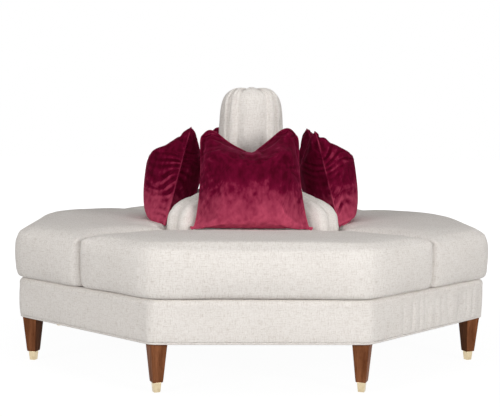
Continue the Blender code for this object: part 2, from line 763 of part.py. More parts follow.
def lean_pillow(pillow, cushion, cover):
    """Stand the pillow on its seat, leaning on the back."""
    pillow.rotation_euler.x = -PILLOW_LEAN
    pillow.location = (0.0, -SEAT_INRADIUS / 2, SEAT_BOTTOM)
    for _ in range(SEATS):
        pillow.location.z += PILLOW_HEIGHT
        bring_to(pillow, cushion, Vector((0.0, 0.0, -1.0)), SOFT_GAP)
        pillow.location.y -= SEAT_INRADIUS
        bring_to(pillow, cover, Vector((0.0, 1.0, 0.0)), SOFT_GAP)


def copy_round(thing, stem, model):
    """Copies of the front piece for the other seats, turned about the middle."""
    for k, name in enumerate(SEAT_NAMES[:-1]):
        turn = (k + 1) * math.tau / SEATS
        twin = thing.copy()
        twin.name = stem + name
        model.objects.link(twin)
        spot = thing.location.copy()
        twin.location = (spot.x * math.cos(turn) - spot.y * math.sin(turn),
                         spot.x * math.sin(turn) + spot.y * math.cos(turn), spot.z)
        twin.rotation_euler.z = turn


def main():
    clear_scene()
    model = new_collection("tete_a_tete_settee")
    cutters = new_collection("cutters")
    finishes = {"linen": linen(), "velvet": velvet(), "walnut": walnut(), "brass": brass(),
                "steel": steel(), "frame": frame_wood(), "dust": dust_cloth()}
    for k in range(SIDES):
        base_rail(k, finishes, model)
        hole = leg_pieces(k, finishes, model, cutters)
        corner_block(k, hole, finishes, model)
    cross_rails(finishes, model)
    deck_pieces(finishes, model)
    base_cover(finishes, model)
    base_welt(finishes, model)
    cover = back_cover(back_frame(finishes, model, cutters), finishes, model)
    back_button(finishes, model)
    cushion = seat_cushion(finishes, model)
    pillow = throw_pillow(finishes, model)
    lean_pillow(pillow, cushion, cover)
    copy_round(cushion, "seat_cushion_", model)
    copy_round(pillow, "throw_pillow_", model)


main()
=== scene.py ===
# %% [markdown]
# # Dressing an eight-sided tete-a-tete settee
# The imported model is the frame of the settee: rails, legs and ferrules, and one plain solid for
# each piece of upholstery. This lesson dresses it as an upholsterer would, with linen, velvet,
# walnut and brass. Every soft piece is made over its own solid and then takes that solid's
# place, so nothing drifts from the real sizes while the surface gets its seams and folds.

import math

import bmesh
import bpy
import numpy as np
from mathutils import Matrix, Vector, noise
from mathutils.kdtree import KDTree


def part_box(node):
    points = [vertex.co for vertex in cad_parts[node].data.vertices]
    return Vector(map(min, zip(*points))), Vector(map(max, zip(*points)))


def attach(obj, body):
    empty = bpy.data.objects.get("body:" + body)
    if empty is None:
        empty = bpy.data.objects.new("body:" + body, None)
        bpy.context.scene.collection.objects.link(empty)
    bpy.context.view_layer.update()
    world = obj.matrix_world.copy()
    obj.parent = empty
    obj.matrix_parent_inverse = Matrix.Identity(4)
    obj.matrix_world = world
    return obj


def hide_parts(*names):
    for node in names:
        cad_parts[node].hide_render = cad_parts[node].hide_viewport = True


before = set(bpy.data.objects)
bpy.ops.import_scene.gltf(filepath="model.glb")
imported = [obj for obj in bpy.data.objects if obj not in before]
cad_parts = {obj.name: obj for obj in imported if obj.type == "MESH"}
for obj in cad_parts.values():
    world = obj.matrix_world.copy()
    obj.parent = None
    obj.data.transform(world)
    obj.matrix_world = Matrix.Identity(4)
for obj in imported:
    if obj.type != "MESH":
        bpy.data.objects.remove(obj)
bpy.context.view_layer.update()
scene = bpy.context.scene

# %% [markdown]
# ## Camera
# The settee was photographed from a little under eye height with a long lens, from in front and
# slightly left. The place, the turn and the lens were found by laying a drawn eight-sided base
# over the photographed one until every edge agreed, which beats judging them by eye: once the
# edges agree, each later piece can be compared with the photograph straight away.

# %% Camera
CAMERA_PLACE = (-0.1952, -4.3337, 0.8979)
CAMERA_TURN = (1.4963, -0.0099, -0.0442)

lens = bpy.data.cameras.new("studio_lens")
lens.sensor_fit = "HORIZONTAL"
lens.sensor_width = 36.0
lens.lens = 73.1
camera = bpy.data.objects.new("studio_camera", lens)
camera.location = CAMERA_PLACE
camera.rotation_euler = CAMERA_TURN
scene.collection.objects.link(camera)
scene.camera = camera
print("camera", CAMERA_PLACE, "with a", lens.lens, "mm lens")

# %% [markdown]
# ## Light and background
# A catalogue photograph has a broad light from the front and a paper sweep that burns out to
# white. The broad light could be one huge lamp, but a faint sky all round plus four soft boxes is
# easier to match to the photograph face by face. The sky that lights the settee is dimmer than
# the white that the camera sees: a Light Path node tells the two apart, so white paper never
# means more light on the linen.

# %% Sky
SKY_STRENGTH = 0.14

scene.view_settings.view_transform = "Standard"
sky = bpy.data.worlds.new("studio_sky")
sky.use_nodes = True
scene.world = sky
sky_nodes = sky.node_tree.nodes
sky_links = sky.node_tree.links
lit = sky_nodes["Background"]
lit.inputs["Color"].default_value = (1.0, 0.99, 0.98, 1.0)
lit.inputs["Strength"].default_value = SKY_STRENGTH
paper = sky_nodes.new("ShaderNodeBackground")
paper.inputs["Color"].default_value = (1.0, 1.0, 1.0, 1.0)
path = sky_nodes.new("ShaderNodeLightPath")
seen = sky_nodes.new("ShaderNodeMath")
seen.operation = "MAXIMUM"
chosen = sky_nodes.new("ShaderNodeMixShader")
for start, end in ((path.outputs["Is Camera Ray"], seen.inputs[0]),
                   (path.outputs["Is Glossy Ray"], seen.inputs[1]),
                   (seen.outputs["Value"], chosen.inputs["Fac"]),
                   (lit.outputs["Background"], chosen.inputs[1]),
                   (paper.outputs["Background"], chosen.inputs[2]),
                   (chosen.outputs["Shader"], sky_nodes["World Output"].inputs["Surface"])):
    sky_links.new(start, end)


# %% Soft boxes
def soft_box(name, place, aim, size, power):
    """A square lamp of one size, turned to face a point."""
    lamp = bpy.data.lights.new(name, "AREA")
    lamp.shape = "SQUARE"
    lamp.size = size
    lamp.energy = power
    lamp.color = (1.0, 0.985, 0.96)
    box = bpy.data.objects.new(name, lamp)
    box.location = place
    box.rotation_euler = (Vector(aim) - Vector(place)).to_track_quat("-Z", "Y").to_euler()
    scene.collection.objects.link(box)
    return box


soft_box("front_box", (0.1, -5.2, 1.2), (0.0, 0.0, 0.4), 1.6, 36.0)
soft_box("right_box", (3.2, -4.2, 1.5), (0.0, 0.0, 0.5), 1.6, 112.0)
soft_box("left_box", (-3.6, -3.8, 1.6), (0.0, 0.0, 0.5), 2.0, 96.0)
soft_box("top_box", (0.0, -0.6, 4.2), (0.0, 0.0, 0.5), 2.6, 38.0)


# %% [markdown]
# ## Recipes for finishes
# A finish here is a chain of texture nodes that ends in one Principled shader. Typing each node
# and link out would bury the idea, and one giant function would hide it. A small class that adds
# a node and wires it in one line keeps each recipe readable, like a list of ingredients.

# %% A class that lays nodes
class Finish:
    """A material whose nodes are added and wired one line at a time."""

    def __init__(self, name, **constants):
        self.material = bpy.data.materials.new(name)
        self.material.use_nodes = True
        self.tree = self.material.node_tree
        self.shader = self.tree.nodes["Principled BSDF"]
        for socket, value in constants.items():
            self.shader.inputs[socket.replace("_", " ")].default_value = value

    def add(self, kind, inputs=(), **settings):
        """Add one node. Each input is a value, or the output of an earlier node."""
        node = self.tree.nodes.new("ShaderNode" + kind)
        for setting, value in settings.items():
            setattr(node, setting, value)
        for socket, value in dict(inputs).items():
            if isinstance(value, bpy.types.NodeSocket):
                self.tree.links.new(value, node.inputs[socket])
            else:
                node.inputs[socket].default_value = value
        return node.outputs[0]

    def stretch(self, place, scale):
        """Coordinates scaled along each axis."""
        return self.add("Mapping", {"Vector": place, "Scale": scale})

    def cloudy(self, place, scale=1.0, detail=3.0, distortion=0.0):
        """Soft random clouds."""
        return self.add("TexNoise", {"Vector": place, "Scale": scale, "Detail": detail,
                                     "Distortion": distortion})

    def sums(self, operation, first, second=0.0):
        """One sum on two values."""
        return self.add("Math", {0: first, 1: second}, operation=operation)

    def between(self, value, low, high, to_low=0.0, to_high=1.0):
        """A value's share of the way from low to high, held inside the new limits."""
        return self.add("MapRange", {"Value": value, "From Min": low, "From Max": high,
                                     "To Min": to_low, "To Max": to_high})

    def blend(self, share, first, second):
        """A colour between two colours."""
        node = self.tree.nodes.new("ShaderNodeMix")
        node.data_type = "RGBA"
        for socket, value in zip((node.inputs[0], node.inputs[6], node.inputs[7]),
                                 (share, first, second)):
            if isinstance(value, bpy.types.NodeSocket):
                self.tree.links.new(value, socket)
            else:
                socket.default_value = value if isinstance(value, float) else (*value, 1.0)
        return node.outputs[2]

    def relief(self, height, depth, strength=1.0):
        """Fine relief of one depth in metres, joined to the shader."""
        bump = self.add("Bump", {"Height": height, "Distance": depth, "Strength": strength})
        self.tree.links.new(bump, self.shader.inputs["Normal"])

    def colour(self, value):
        """Join a colour to the shader."""
        self.tree.links.new(value, self.shader.inputs["Base Color"])

    def gloss(self, value):
        """Join a roughness to the shader."""
        self.tree.links.new(value, self.shader.inputs["Roughness"])


# %% [markdown]
# ## Floor
# The sweep under the settee is plain paper. A white plane lit like the rest would turn grey
# toward the back, where the lamps don't reach. So the paper is partly its own white to the
# camera, and wholly so further out, and the rest of it stays ordinary paper that takes a shadow.

# %% Floor
FLOOR_SIZE = 60.0
FLOOR_DROP = 0.001
SHADOW_NEAR = 1.2
SHADOW_FAR = 3.4
WHITE_SHARE = 0.84
GLOW = 1.15

sweep = Finish("paper_sweep", Roughness=0.9)
sweep.shader.inputs["Base Color"].default_value = (0.42, 0.42, 0.42, 1.0)
sweep.add("TexCoord")
position = sweep.tree.nodes["Texture Coordinate"].outputs["Object"]
sweep.add("VectorMath", {0: position}, operation="LENGTH")
distance = sweep.tree.nodes["Vector Math"].outputs["Value"]
whiteness = sweep.between(distance, SHADOW_NEAR, SHADOW_FAR, WHITE_SHARE, 1.0)
ray = sweep.add("LightPath")
rays = sweep.tree.nodes["Light Path"].outputs
direct = sweep.sums("MAXIMUM", ray, rays["Is Glossy Ray"])
share = sweep.sums("MULTIPLY", whiteness, direct)
glow = sweep.add("Emission", {"Color": (1.0, 1.0, 1.0, 1.0), "Strength": GLOW})
surface = sweep.add("MixShader", {0: share, 1: sweep.shader.outputs[0], 2: glow})
sweep.tree.links.new(surface, sweep.tree.nodes["Material Output"].inputs["Surface"])

paper_mesh = bpy.data.meshes.new("studio_floor")
half = FLOOR_SIZE / 2
paper_mesh.from_pydata([(-half, -half, 0.0), (half, -half, 0.0), (half, half, 0.0),
                        (-half, half, 0.0)], [], [(0, 1, 2, 3)])
paper_mesh.materials.append(sweep.material)
studio_floor = bpy.data.objects.new("studio_floor", paper_mesh)
studio_floor.location.z = -FLOOR_DROP
scene.collection.objects.link(studio_floor)
print("floor:", FLOOR_SIZE, "m across")


# %% [markdown]
# ## Linen
# Slubbed linen is a plain weave whose yarn swells and thins along its length, so short thick
# stretches show as fine dashes both ways. A photograph of cloth would carry the light it was
# taken in; two noises stretched thin, one along the warp and one along the weft, make the same
# dashes and can be read off the cloth's own flat coordinates, in metres, on any shape.

# %% Linen
THREADS_PER_METRE = 1100.0
# Clouds in a metre of cloth, along a yarn and across it
COARSE_SLUBS = 34.0, 330.0
FINE_SLUBS = 110.0, 760.0
WEAVE_DEPTH = 0.0006


def weave(finish, cloth, per_metre):
    """The crossing of warp and weft, as a height."""
    finish.add("SeparateXYZ", {"Vector": cloth})
    axes = finish.tree.nodes["Separate XYZ"].outputs
    turn = math.pi * per_metre
    warp = finish.sums("SINE", finish.sums("MULTIPLY", axes["X"], turn))
    weft = finish.sums("SINE", finish.sums("MULTIPLY", axes["Y"], turn))
    return finish.sums("MULTIPLY", warp, weft)


def slubs(finish, cloth, long_per_metre, thick_per_metre):
    """Thick stretches of yarn both ways."""
    upright = finish.cloudy(finish.stretch(cloth, (thick_per_metre, long_per_metre, 1.0)))
    level = finish.cloudy(finish.stretch(cloth, (long_per_metre, thick_per_metre, 1.0)))
    return finish.sums("ADD", finish.between(upright, 0.50, 0.72),
                       finish.between(level, 0.50, 0.72))


def linen_finish(name, pale, deep):
    """Slubbed linen between a pale and a deep yarn."""
    linen = Finish(name, Roughness=0.88, Sheen_Weight=0.10, Sheen_Roughness=0.5)
    linen.shader.inputs["Specular IOR Level"].default_value = 0.25
    cloth = linen.add("UVMap", uv_map="cloth")
    coarse = slubs(linen, cloth, *COARSE_SLUBS)
    fine = slubs(linen, cloth, *FINE_SLUBS)
    both = linen.sums("ADD", linen.sums("MULTIPLY", coarse, 0.8), linen.sums("MULTIPLY", fine, 0.9))
    clouds = linen.cloudy(cloth, 7.0, 4.0)
    shade = linen.sums("ADD", linen.sums("MULTIPLY", both, 0.60),
                       linen.between(clouds, 0.35, 0.65, 0.0, 0.10))
    linen.colour(linen.blend(shade, pale, deep))
    height = linen.sums("ADD", linen.sums("MULTIPLY", both, 0.6),
                        linen.sums("MULTIPLY", weave(linen, cloth, THREADS_PER_METRE), 0.35))
    linen.relief(height, WEAVE_DEPTH, 0.5)
    return linen.material


LINEN = linen_finish("slubbed_linen", (0.885, 0.857, 0.832), (0.640, 0.592, 0.552))
PLATFORM_CLOTH = linen_finish("platform_cloth", (0.60, 0.55, 0.48), (0.44, 0.39, 0.33))
print("linen yarns per metre:", THREADS_PER_METRE)

# %% [markdown]
# ## Velvet
# Crushed velvet is dark where its pile stands and pink where it is pressed over, in soft patches
# a few centimetres wide with short upright strokes in them. Painting them by hand would tie them
# to one pillow. One cloud texture gives the patches and a finer, stretched one the strokes. Over
# them goes painted light, paler towards a pillow's foot and darker higher up, and painted shade in
# the grooves of its folds with a painted highlight on their ridges. The shader's sheen adds the pale
# rim where the cloth curves out of sight.

# %% Velvet
SHEEN_TINT = (1.0, 0.12, 0.32, 1.0)
VELVET_DEEP = (0.070, 0.0006, 0.010)
VELVET_BODY = (0.165, 0.0030, 0.030)
VELVET_PALE = (0.52, 0.076, 0.142)
# Height over which the painted light at a pillow's foot gives way to painted shade above
PAINTED_LIGHT_HEIGHT = 0.18
PATCHES_PER_METRE = 11.0
MARKS_PER_METRE = 48.0, 48.0, 30.0
PILE_PER_METRE = 900.0
PILE_DEPTH = 0.0016


def velvet_finish():
    """Crushed burgundy velvet."""
    velvet = Finish("crushed_velvet", Roughness=0.75, Sheen_Weight=0.26, Sheen_Roughness=0.30)
    velvet.shader.inputs["Sheen Tint"].default_value = SHEEN_TINT
    velvet.shader.inputs["Specular IOR Level"].default_value = 0.03
    velvet.add("TexCoord")
    place = velvet.tree.nodes["Texture Coordinate"].outputs["Object"]
    patches = velvet.cloudy(place, PATCHES_PER_METRE, 3.0, 0.1)
    marks = velvet.cloudy(velvet.stretch(place, MARKS_PER_METRE), 1.0, 5.0, 0.15)
    pile_and_painted_light = velvet.sums("ADD", velvet.between(patches, 0.25, 0.75, 0.0, 0.36),
                       velvet.between(marks, 0.25, 0.75, 0.0, 0.62))
    # Painted highlight on the ridges of the folds and painted shade in their grooves, read from the
    # mesh's curvature
    velvet.add("NewGeometry")
    painted_fold_light = velvet.tree.nodes["Geometry"].outputs["Pointiness"]
    pile_and_painted_light = velvet.sums("ADD", pile_and_painted_light, velvet.between(painted_fold_light, 0.44, 0.56, -0.38, 0.38))
    velvet.add("SeparateXYZ", {"Vector": place})
    height = velvet.tree.nodes["Separate XYZ"].outputs["Z"]
    # Painted light and shade: paler towards the pillow's foot and darker higher up, by height alone
    pile_and_painted_light = velvet.sums("ADD", pile_and_painted_light, velvet.between(height, 0.00, PAINTED_LIGHT_HEIGHT, 0.70, -0.28))
    shadowed = velvet.blend(velvet.between(pile_and_painted_light, 0.0, 0.62), VELVET_DEEP, VELVET_BODY)
    velvet.colour(velvet.blend(velvet.between(pile_and_painted_light, 0.45, 1.50), shadowed, VELVET_PALE))
    pile = velvet.cloudy(place, PILE_PER_METRE, 2.0)
    velvet.relief(velvet.sums("ADD", velvet.sums("MULTIPLY", marks, 0.8),
                              velvet.sums("MULTIPLY", pile, 0.2)), PILE_DEPTH, 0.35)
    return velvet.material


VELVET = velvet_finish()
print("velvet:", len(VELVET.node_tree.nodes), "nodes")

# %% [markdown]
# ## Walnut, brass and what lies inside
# The legs are stained walnut with the grain up the leg, the ferrules are satin brass. Grain is
# a long thin noise read in the leg's own coordinates, which no image could match on all four
# faces at the corner. The frame inside shows only from below or with a cushion off, so its
# finishes are shorter recipes, but none of them is a flat colour.

# %% Walnut
def wood_finish(name, dark, light, gloss, grain_per_metre):
    """Wood with its grain along Z, or along the longest run of a board."""
    wood = Finish(name, Specular_IOR_Level=0.04)
    wood.add("TexCoord")
    place = wood.tree.nodes["Texture Coordinate"].outputs["Object"]
    wood.add("ObjectInfo")
    piece = wood.tree.nodes["Object Info"].outputs["Random"]
    shift = wood.add("CombineXYZ", {"X": wood.sums("MULTIPLY", piece, 9.0), "Z": piece})
    here = wood.add("VectorMath", {0: place, 1: shift}, operation="ADD")
    figure = wood.cloudy(wood.stretch(here, grain_per_metre), 1.0, 4.0, 0.6)
    pores = wood.cloudy(wood.stretch(here, tuple(7 * x for x in grain_per_metre)), 1.0, 2.0)
    shade = wood.sums("ADD", wood.between(figure, 0.32, 0.68, 0.0, 0.8),
                      wood.between(pores, 0.52, 0.70, 0.0, 0.3))
    wood.colour(wood.blend(shade, light, dark))
    wood.gloss(wood.between(shade, 0.0, 1.0, gloss, gloss + 0.16))
    wood.relief(pores, 0.0003, 0.3)
    return wood.material


WALNUT = wood_finish("stained_walnut", (0.105, 0.032, 0.012), (0.290, 0.112, 0.050), 0.38,
                     (46.0, 46.0, 5.0))
FRAME_WOOD = wood_finish("frame_timber", (0.40, 0.27, 0.155), (0.63, 0.48, 0.31), 0.62,
                         (24.0, 24.0, 60.0))
print("woods:", WALNUT.name, "and", FRAME_WOOD.name)


# %% Brass, steel and dust cloth
def metal_finish(name, colour, dull, gloss, brush):
    """Satin metal with fine brush lines round it and a little tarnish."""
    metal = Finish(name, Metallic=1.0)
    metal.add("TexCoord")
    place = metal.tree.nodes["Texture Coordinate"].outputs["Object"]
    lines = metal.cloudy(metal.stretch(place, brush), 1.0, 2.0)
    tarnish = metal.cloudy(place, 60.0, 4.0)
    metal.colour(metal.blend(metal.between(tarnish, 0.45, 0.75, 0.0, 0.8), colour, dull))
    metal.gloss(metal.between(lines, 0.3, 0.7, gloss, gloss + 0.14))
    metal.relief(lines, 0.0001, 0.25)
    return metal.material


def dust_cloth_finish():
    """Black felted cloth."""
    cloth = Finish("black_cambric", Roughness=0.95)
    place = cloth.add("UVMap", uv_map="cloth")
    fibres = cloth.cloudy(place, 900.0, 3.0, 0.5)
    cloth.colour(cloth.blend(fibres, (0.016, 0.016, 0.017), (0.045, 0.045, 0.048)))
    cloth.relief(fibres, 0.0004, 0.5)
    return cloth.material


BRASS = metal_finish("satin_brass", (0.72, 0.60, 0.40), (0.54, 0.43, 0.26), 0.26,
                     (40.0, 40.0, 1800.0))
STEEL = metal_finish("zinc_steel", (0.62, 0.62, 0.63), (0.42, 0.42, 0.43), 0.34,
                     (300.0, 300.0, 1500.0))
DUST_CLOTH = dust_cloth_finish()
print("metals:", BRASS.name, "and", STEEL.name)


# %% [markdown]
# ## Tools for laying cloth
# Upholstery is flat cloth cut into strips and sewn, so each piece here is a set of strips. A
# strip is a grid of points with its place on the flat cloth kept beside it, in metres, so the
# weave runs as it was cut. Blender's unwrap could find such places later, but it would scale and
# turn them as it pleased. Where the edges of two strips lie on each other they are sewn.

# %% Strips of cloth
def cells(grid):
    """The four corners of each cell of a grid, in the order in which its face is made."""
    return np.stack([grid[:-1, :-1], grid[1:, :-1], grid[1:, 1:], grid[:-1, 1:]], axis=2)


def run_along(points, axis):
    """Distance from the first point, along the rows or columns of a grid."""
    steps = np.linalg.norm(np.diff(points, axis=axis), axis=-1)
    start = np.zeros_like(np.take(steps, [0], axis=axis))
    return np.concatenate([start, np.cumsum(steps, axis=axis)], axis=axis)


def laid_flat(points, row=None):
    """A strip's places on flat cloth: across from its middle column, and down along it."""
    across = run_along(points, 1)
    middle = points.shape[1] // 2
    across = across - across[:, middle:middle + 1]
    if row is not None:
        across = np.broadcast_to(across[row], across.shape)
    down = run_along(points, 0)[:, middle:middle + 1]
    return np.stack([across, np.broadcast_to(down, across.shape)], axis=-1)


def add_piece(name, mesh):
    """A smooth-shaded object for a mesh."""
    mesh.shade_smooth()
    piece = bpy.data.objects.new(name, mesh)
    scene.collection.objects.link(piece)
    return piece


def sewn_piece(name, strips, closed=True):
    """One mesh of several strips, each a pair of points and places on flat cloth."""
    vertices, faces, places, used = [], [], [], 0
    for points, cloth in strips:
        index = used + np.arange(points.shape[0] * points.shape[1]).reshape(points.shape[:2])
        used += index.size
        vertices.append(points.reshape(-1, 3))
        faces.append(cells(index).reshape(-1, 4))
        places.append(cells(cloth).reshape(-1, 2))
    mesh = bpy.data.meshes.new(name)
    mesh.from_pydata(np.concatenate(vertices).tolist(), [], np.concatenate(faces).tolist())
    layer = mesh.uv_layers.new(name="cloth")
    layer.uv.foreach_set("vector", np.concatenate(places).astype(np.float32).ravel())
    sewing = bmesh.new()
    sewing.from_mesh(mesh)
    bmesh.ops.remove_doubles(sewing, verts=sewing.verts, dist=2e-5)
    if closed:
        lids = bmesh.ops.holes_fill(sewing, edges=[e for e in sewing.edges if e.is_boundary], sides=0)
        bmesh.ops.triangulate(sewing, faces=lids["faces"])
    bmesh.ops.recalc_face_normals(sewing, faces=sewing.faces)
    sewing.to_mesh(mesh)
    sewing.free()
    return add_piece(name, mesh)


def join_piece(piece, finish, body, stands_for=()):
    """Give a piece its finish, the body it moves with and the solids it stands for."""
    piece.data.materials.clear()
    piece.data.materials.append(finish)
    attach(piece, body)
    if stands_for:
        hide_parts(*stands_for)
    return piece


# %% Smooth runs and noise
def eased(at, values):
    """Rows of values joined by a smooth curve, read at fractional row numbers."""
    values = np.asarray(values, float)
    slope = np.gradient(values, axis=0)
    row = np.clip(np.floor(at).astype(int), 0, len(values) - 2)
    t = (at - row).reshape((-1,) + (1,) * (values.ndim - 1))
    return ((1 + 2 * t) * (1 - t) ** 2 * values[row] + t * (1 - t) ** 2 * slope[row]
            + t * t * (3 - 2 * t) * values[row + 1] + t * t * (t - 1) * slope[row + 1])


def wave(place, scale, seed):
    """Smooth noise from about -1 to 1 at each place of an array of places."""
    spots = np.zeros((*place.shape[:-1], 3))
    spots[..., :place.shape[-1]] = place * np.asarray(scale)
    spots = spots.reshape(-1, 3) + (0.0, 0.0, seed)
    return np.array([noise.noise(Vector(spot)) for spot in spots]).reshape(place.shape[:-1])


# %% [markdown]
# ## Legs
# Each leg is a square walnut taper set with one edge outward, under the corner of the base. A
# scaled cube would have knife edges that no sanded leg has. A ring with small round corners,
# drawn in from top to foot, gives the taper and the softened edges in one piece.

# %% Legs
SIDES = 8
TURN = math.tau / SIDES
LEG_HEIGHT = 0.1735
LEG_TOP_WIDTH = 0.060
LEG_FOOT_WIDTH = 0.037
LEG_EDGE_RADIUS = 0.0018
TENON_TOP_WIDTH = 0.024
TENON_FOOT_WIDTH = 0.023
TENON_END = 0.012
FERRULE_HEIGHT = 0.035
GAP = 0.0003
# The ferrule's rings from its sole to inside its rim: width, edge radius and height
FERRULE_RINGS = (
    (0.0200, 0.0012, 0.0006), (0.0216, 0.0014, 0.0), (0.0224, 0.0016, 0.0012),
    (0.0250, 0.0016, 0.016), (0.0272, 0.0016, 0.0306), (0.0280, 0.0018, 0.0318),
    (0.0282, 0.0018, 0.0334), (0.0276, 0.0018, 0.0346), (0.0262, 0.0016, 0.0350),
    (0.0240, 0.0014, 0.0344),
)


def square_ring(width, radius, height, steps=4):
    """A square with round corners, one corner on the X axis, closed on itself."""
    ring = []
    centre = (width / 2 - radius) * math.sqrt(2)
    for corner in range(4):
        facing = corner * math.pi / 2
        for step in range(steps + 1):
            angle = facing + (step / steps - 0.5) * math.pi / 2
            ring.append((centre * math.cos(facing) + radius * math.cos(angle),
                         centre * math.sin(facing) + radius * math.sin(angle), height))
    return ring + ring[:1]


def square_post(name, rows, number):
    """Rings of (width, edge radius, height) joined into a post at one of the eight corners."""
    points = np.array([square_ring(*row) for row in rows])
    post = sewn_piece(name, [(points, laid_flat(points))])
    post.data.set_sharp_from_angle(angle=math.radians(40.0))
    low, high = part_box("ferrule_%d" % number)
    post.location = ((low.x + high.x) / 2, (low.y + high.y) / 2, 0.0)
    post.rotation_euler.z = (number - 0.5) * TURN
    return post


def walnut_leg(number):
    """One tapered leg, standing in its ferrule."""
    foot, edge = FERRULE_HEIGHT + GAP, LEG_EDGE_RADIUS
    rows = [(LEG_TOP_WIDTH - edge, edge, LEG_HEIGHT), (LEG_TOP_WIDTH, edge, LEG_HEIGHT - edge)]
    for share in np.linspace(0.1, 0.9, 9):
        rows.append((LEG_TOP_WIDTH + (LEG_FOOT_WIDTH - LEG_TOP_WIDTH) * share, edge,
                     LEG_HEIGHT + (foot - LEG_HEIGHT) * share))
    rows += [(LEG_FOOT_WIDTH, edge, foot + 1.5 * edge), (LEG_FOOT_WIDTH - edge, edge, foot),
             (TENON_TOP_WIDTH, edge, foot), (TENON_FOOT_WIDTH, edge, TENON_END)]
    leg = square_post("walnut_leg_%d" % number, rows, number)
    return join_piece(leg, WALNUT, "base_and_back", ["leg_%d" % number])


def brass_ferrule(number):
    """One cup of sheet brass with a rolled rim."""
    cup = square_post("brass_ferrule_%d" % number, FERRULE_RINGS, number)
    return join_piece(cup, BRASS, "base_and_back", ["ferrule_%d" % number])


for number in range(1, SIDES + 1):
    walnut_leg(number)
    brass_ferrule(number)
print("legs and ferrules:", 2 * SIDES)

# %% [markdown]
# ## The frame inside
# Rails, blocks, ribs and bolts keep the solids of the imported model, because their shapes are
# already those of sawn timber and turned bolts. They only take a finish.

# %% Finishes for the solids that stay
TIMBER = ("base_rail", "corner_block", "cross_rail", "deck_board", "back_rib", "back_cap")
kept = [(solid, FRAME_WOOD) for name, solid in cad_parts.items() if name.startswith(TIMBER)]
kept += [(solid, STEEL) for name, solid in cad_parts.items() if name.startswith("leg_bolt")]
for solid, finish in kept:
    solid.data.materials.clear()
    solid.data.materials.append(finish)
print("solids that stay:", len(kept))

# %% [markdown]
# ## The band round the base
# A strip of padded linen runs round the eight rails, is rolled over the top edge and stapled
# under. It could be a bevelled prism, but the corners must be soft and the cloth must ease round
# them. A ring of points with round corners, repeated along the strip's section, does both; the
# slack of stapled cloth is then pressed in with stretched noise.

# %% A ring with eight sides
EDGE_CELLS = 52
CORNER_CELLS = 8


def eight_sided_ring(inradius, radius, edge_cells=EDGE_CELLS):
    """Points round an octagon with flats on the axes and round corners, closed on itself."""
    reach = (inradius - radius) / math.cos(TURN / 2)
    corners = [reach * np.array((math.cos((k + 0.5) * TURN), math.sin((k + 0.5) * TURN)))
               for k in range(SIDES)]
    ring = []
    for k in range(SIDES):
        for step in range(CORNER_CELLS):
            angle = (k + step / CORNER_CELLS) * TURN
            ring.append(corners[k] + radius * np.array((math.cos(angle), math.sin(angle))))
        facing = (k + 1) * TURN
        out = radius * np.array((math.cos(facing), math.sin(facing)))
        following = corners[(k + 1) % SIDES]
        for step in range(edge_cells):
            ring.append(corners[k] + (following - corners[k]) * step / edge_cells + out)
    return np.array(ring + ring[:1])


def eight_sided_strip(rows, edge_cells=EDGE_CELLS):
    """Rings of (inradius, corner radius, height)."""
    rings = []
    for inradius, radius, height in rows:
        ring = eight_sided_ring(inradius, radius, edge_cells)
        rings.append(np.column_stack([ring, np.full(len(ring), height)]))
    return np.array(rings)


print("points round one ring:", len(eight_sided_ring(1.0, 0.05)))


# %% The band
BASE_INRADIUS = 0.915
BASE_TOP = 0.3279
HEM_HEIGHT = 0.1811
BAND_CORNER = 0.055
BAND_LAP = 0.070
BAND_ROLL = 0.020
BAND_THICK = 0.014
PAD_BOTTOM = 0.3114
BAND_CELLS = 120
BAND_SIDE_ROW = 8
BAND_SEEN_ROWS = 20
# Where the pleats lie, in degrees round the base, with a few more further round
PLEAT_FACING = -42.0
PLEAT_SPREAD = 17.0
FEWER_TURN = 30.0
FEWER_SPREAD = 8.0
FEWER_SHARE = 0.35
PLEAT_HEIGHT = 0.13
PLEAT_DEPTH = 0.0095
PLEATS_PER_METRE = 19.0, 1.4
STAPLE_PULL = 0.0007
STAPLE_REACH = 0.035
STAPLE_PULLS_PER_METRE = 46.0, 5.0
BAND_HOLLOW = 0.0010
BAND_HOLLOWS_PER_METRE = 5.0, 9.0
BAND_INSET = 0.0012
BAND_BELLY = 0.0022
# Rings as (inset, rise over the hem) and as (inset, drop under the band's top)
HEM_RINGS = ((0.0034, 0.0), (0.0018, 0.004), (0.0010, 0.012))
LAP_RINGS = ((0.030, 0.0), (0.045, 0.0002), (0.060, 0.0006), (BAND_LAP - 0.002, 0.0012),
             (BAND_LAP, 0.003))


def band_section():
    """The strip's section as (inset, height), from the hem up and over to the deck."""
    side = BASE_TOP - BAND_ROLL
    rows = [(inset, HEM_HEIGHT + rise) for inset, rise in HEM_RINGS]
    for share in np.linspace(0.16, 0.94, 9):
        rows.append((BAND_INSET - BAND_BELLY * math.sin(share * math.pi),
                     HEM_HEIGHT + (side - HEM_HEIGHT) * share))
    for angle in np.linspace(0.0, math.pi / 2, 8):
        rows.append((BAND_ROLL * (1 - math.cos(angle)), side + BAND_ROLL * math.sin(angle)))
    rows += [(inset, BASE_TOP - drop) for inset, drop in LAP_RINGS]
    rows += [(BAND_LAP, PAD_BOTTOM), (BAND_THICK, PAD_BOTTOM), (BAND_THICK, HEM_HEIGHT)]
    return rows + rows[:1]


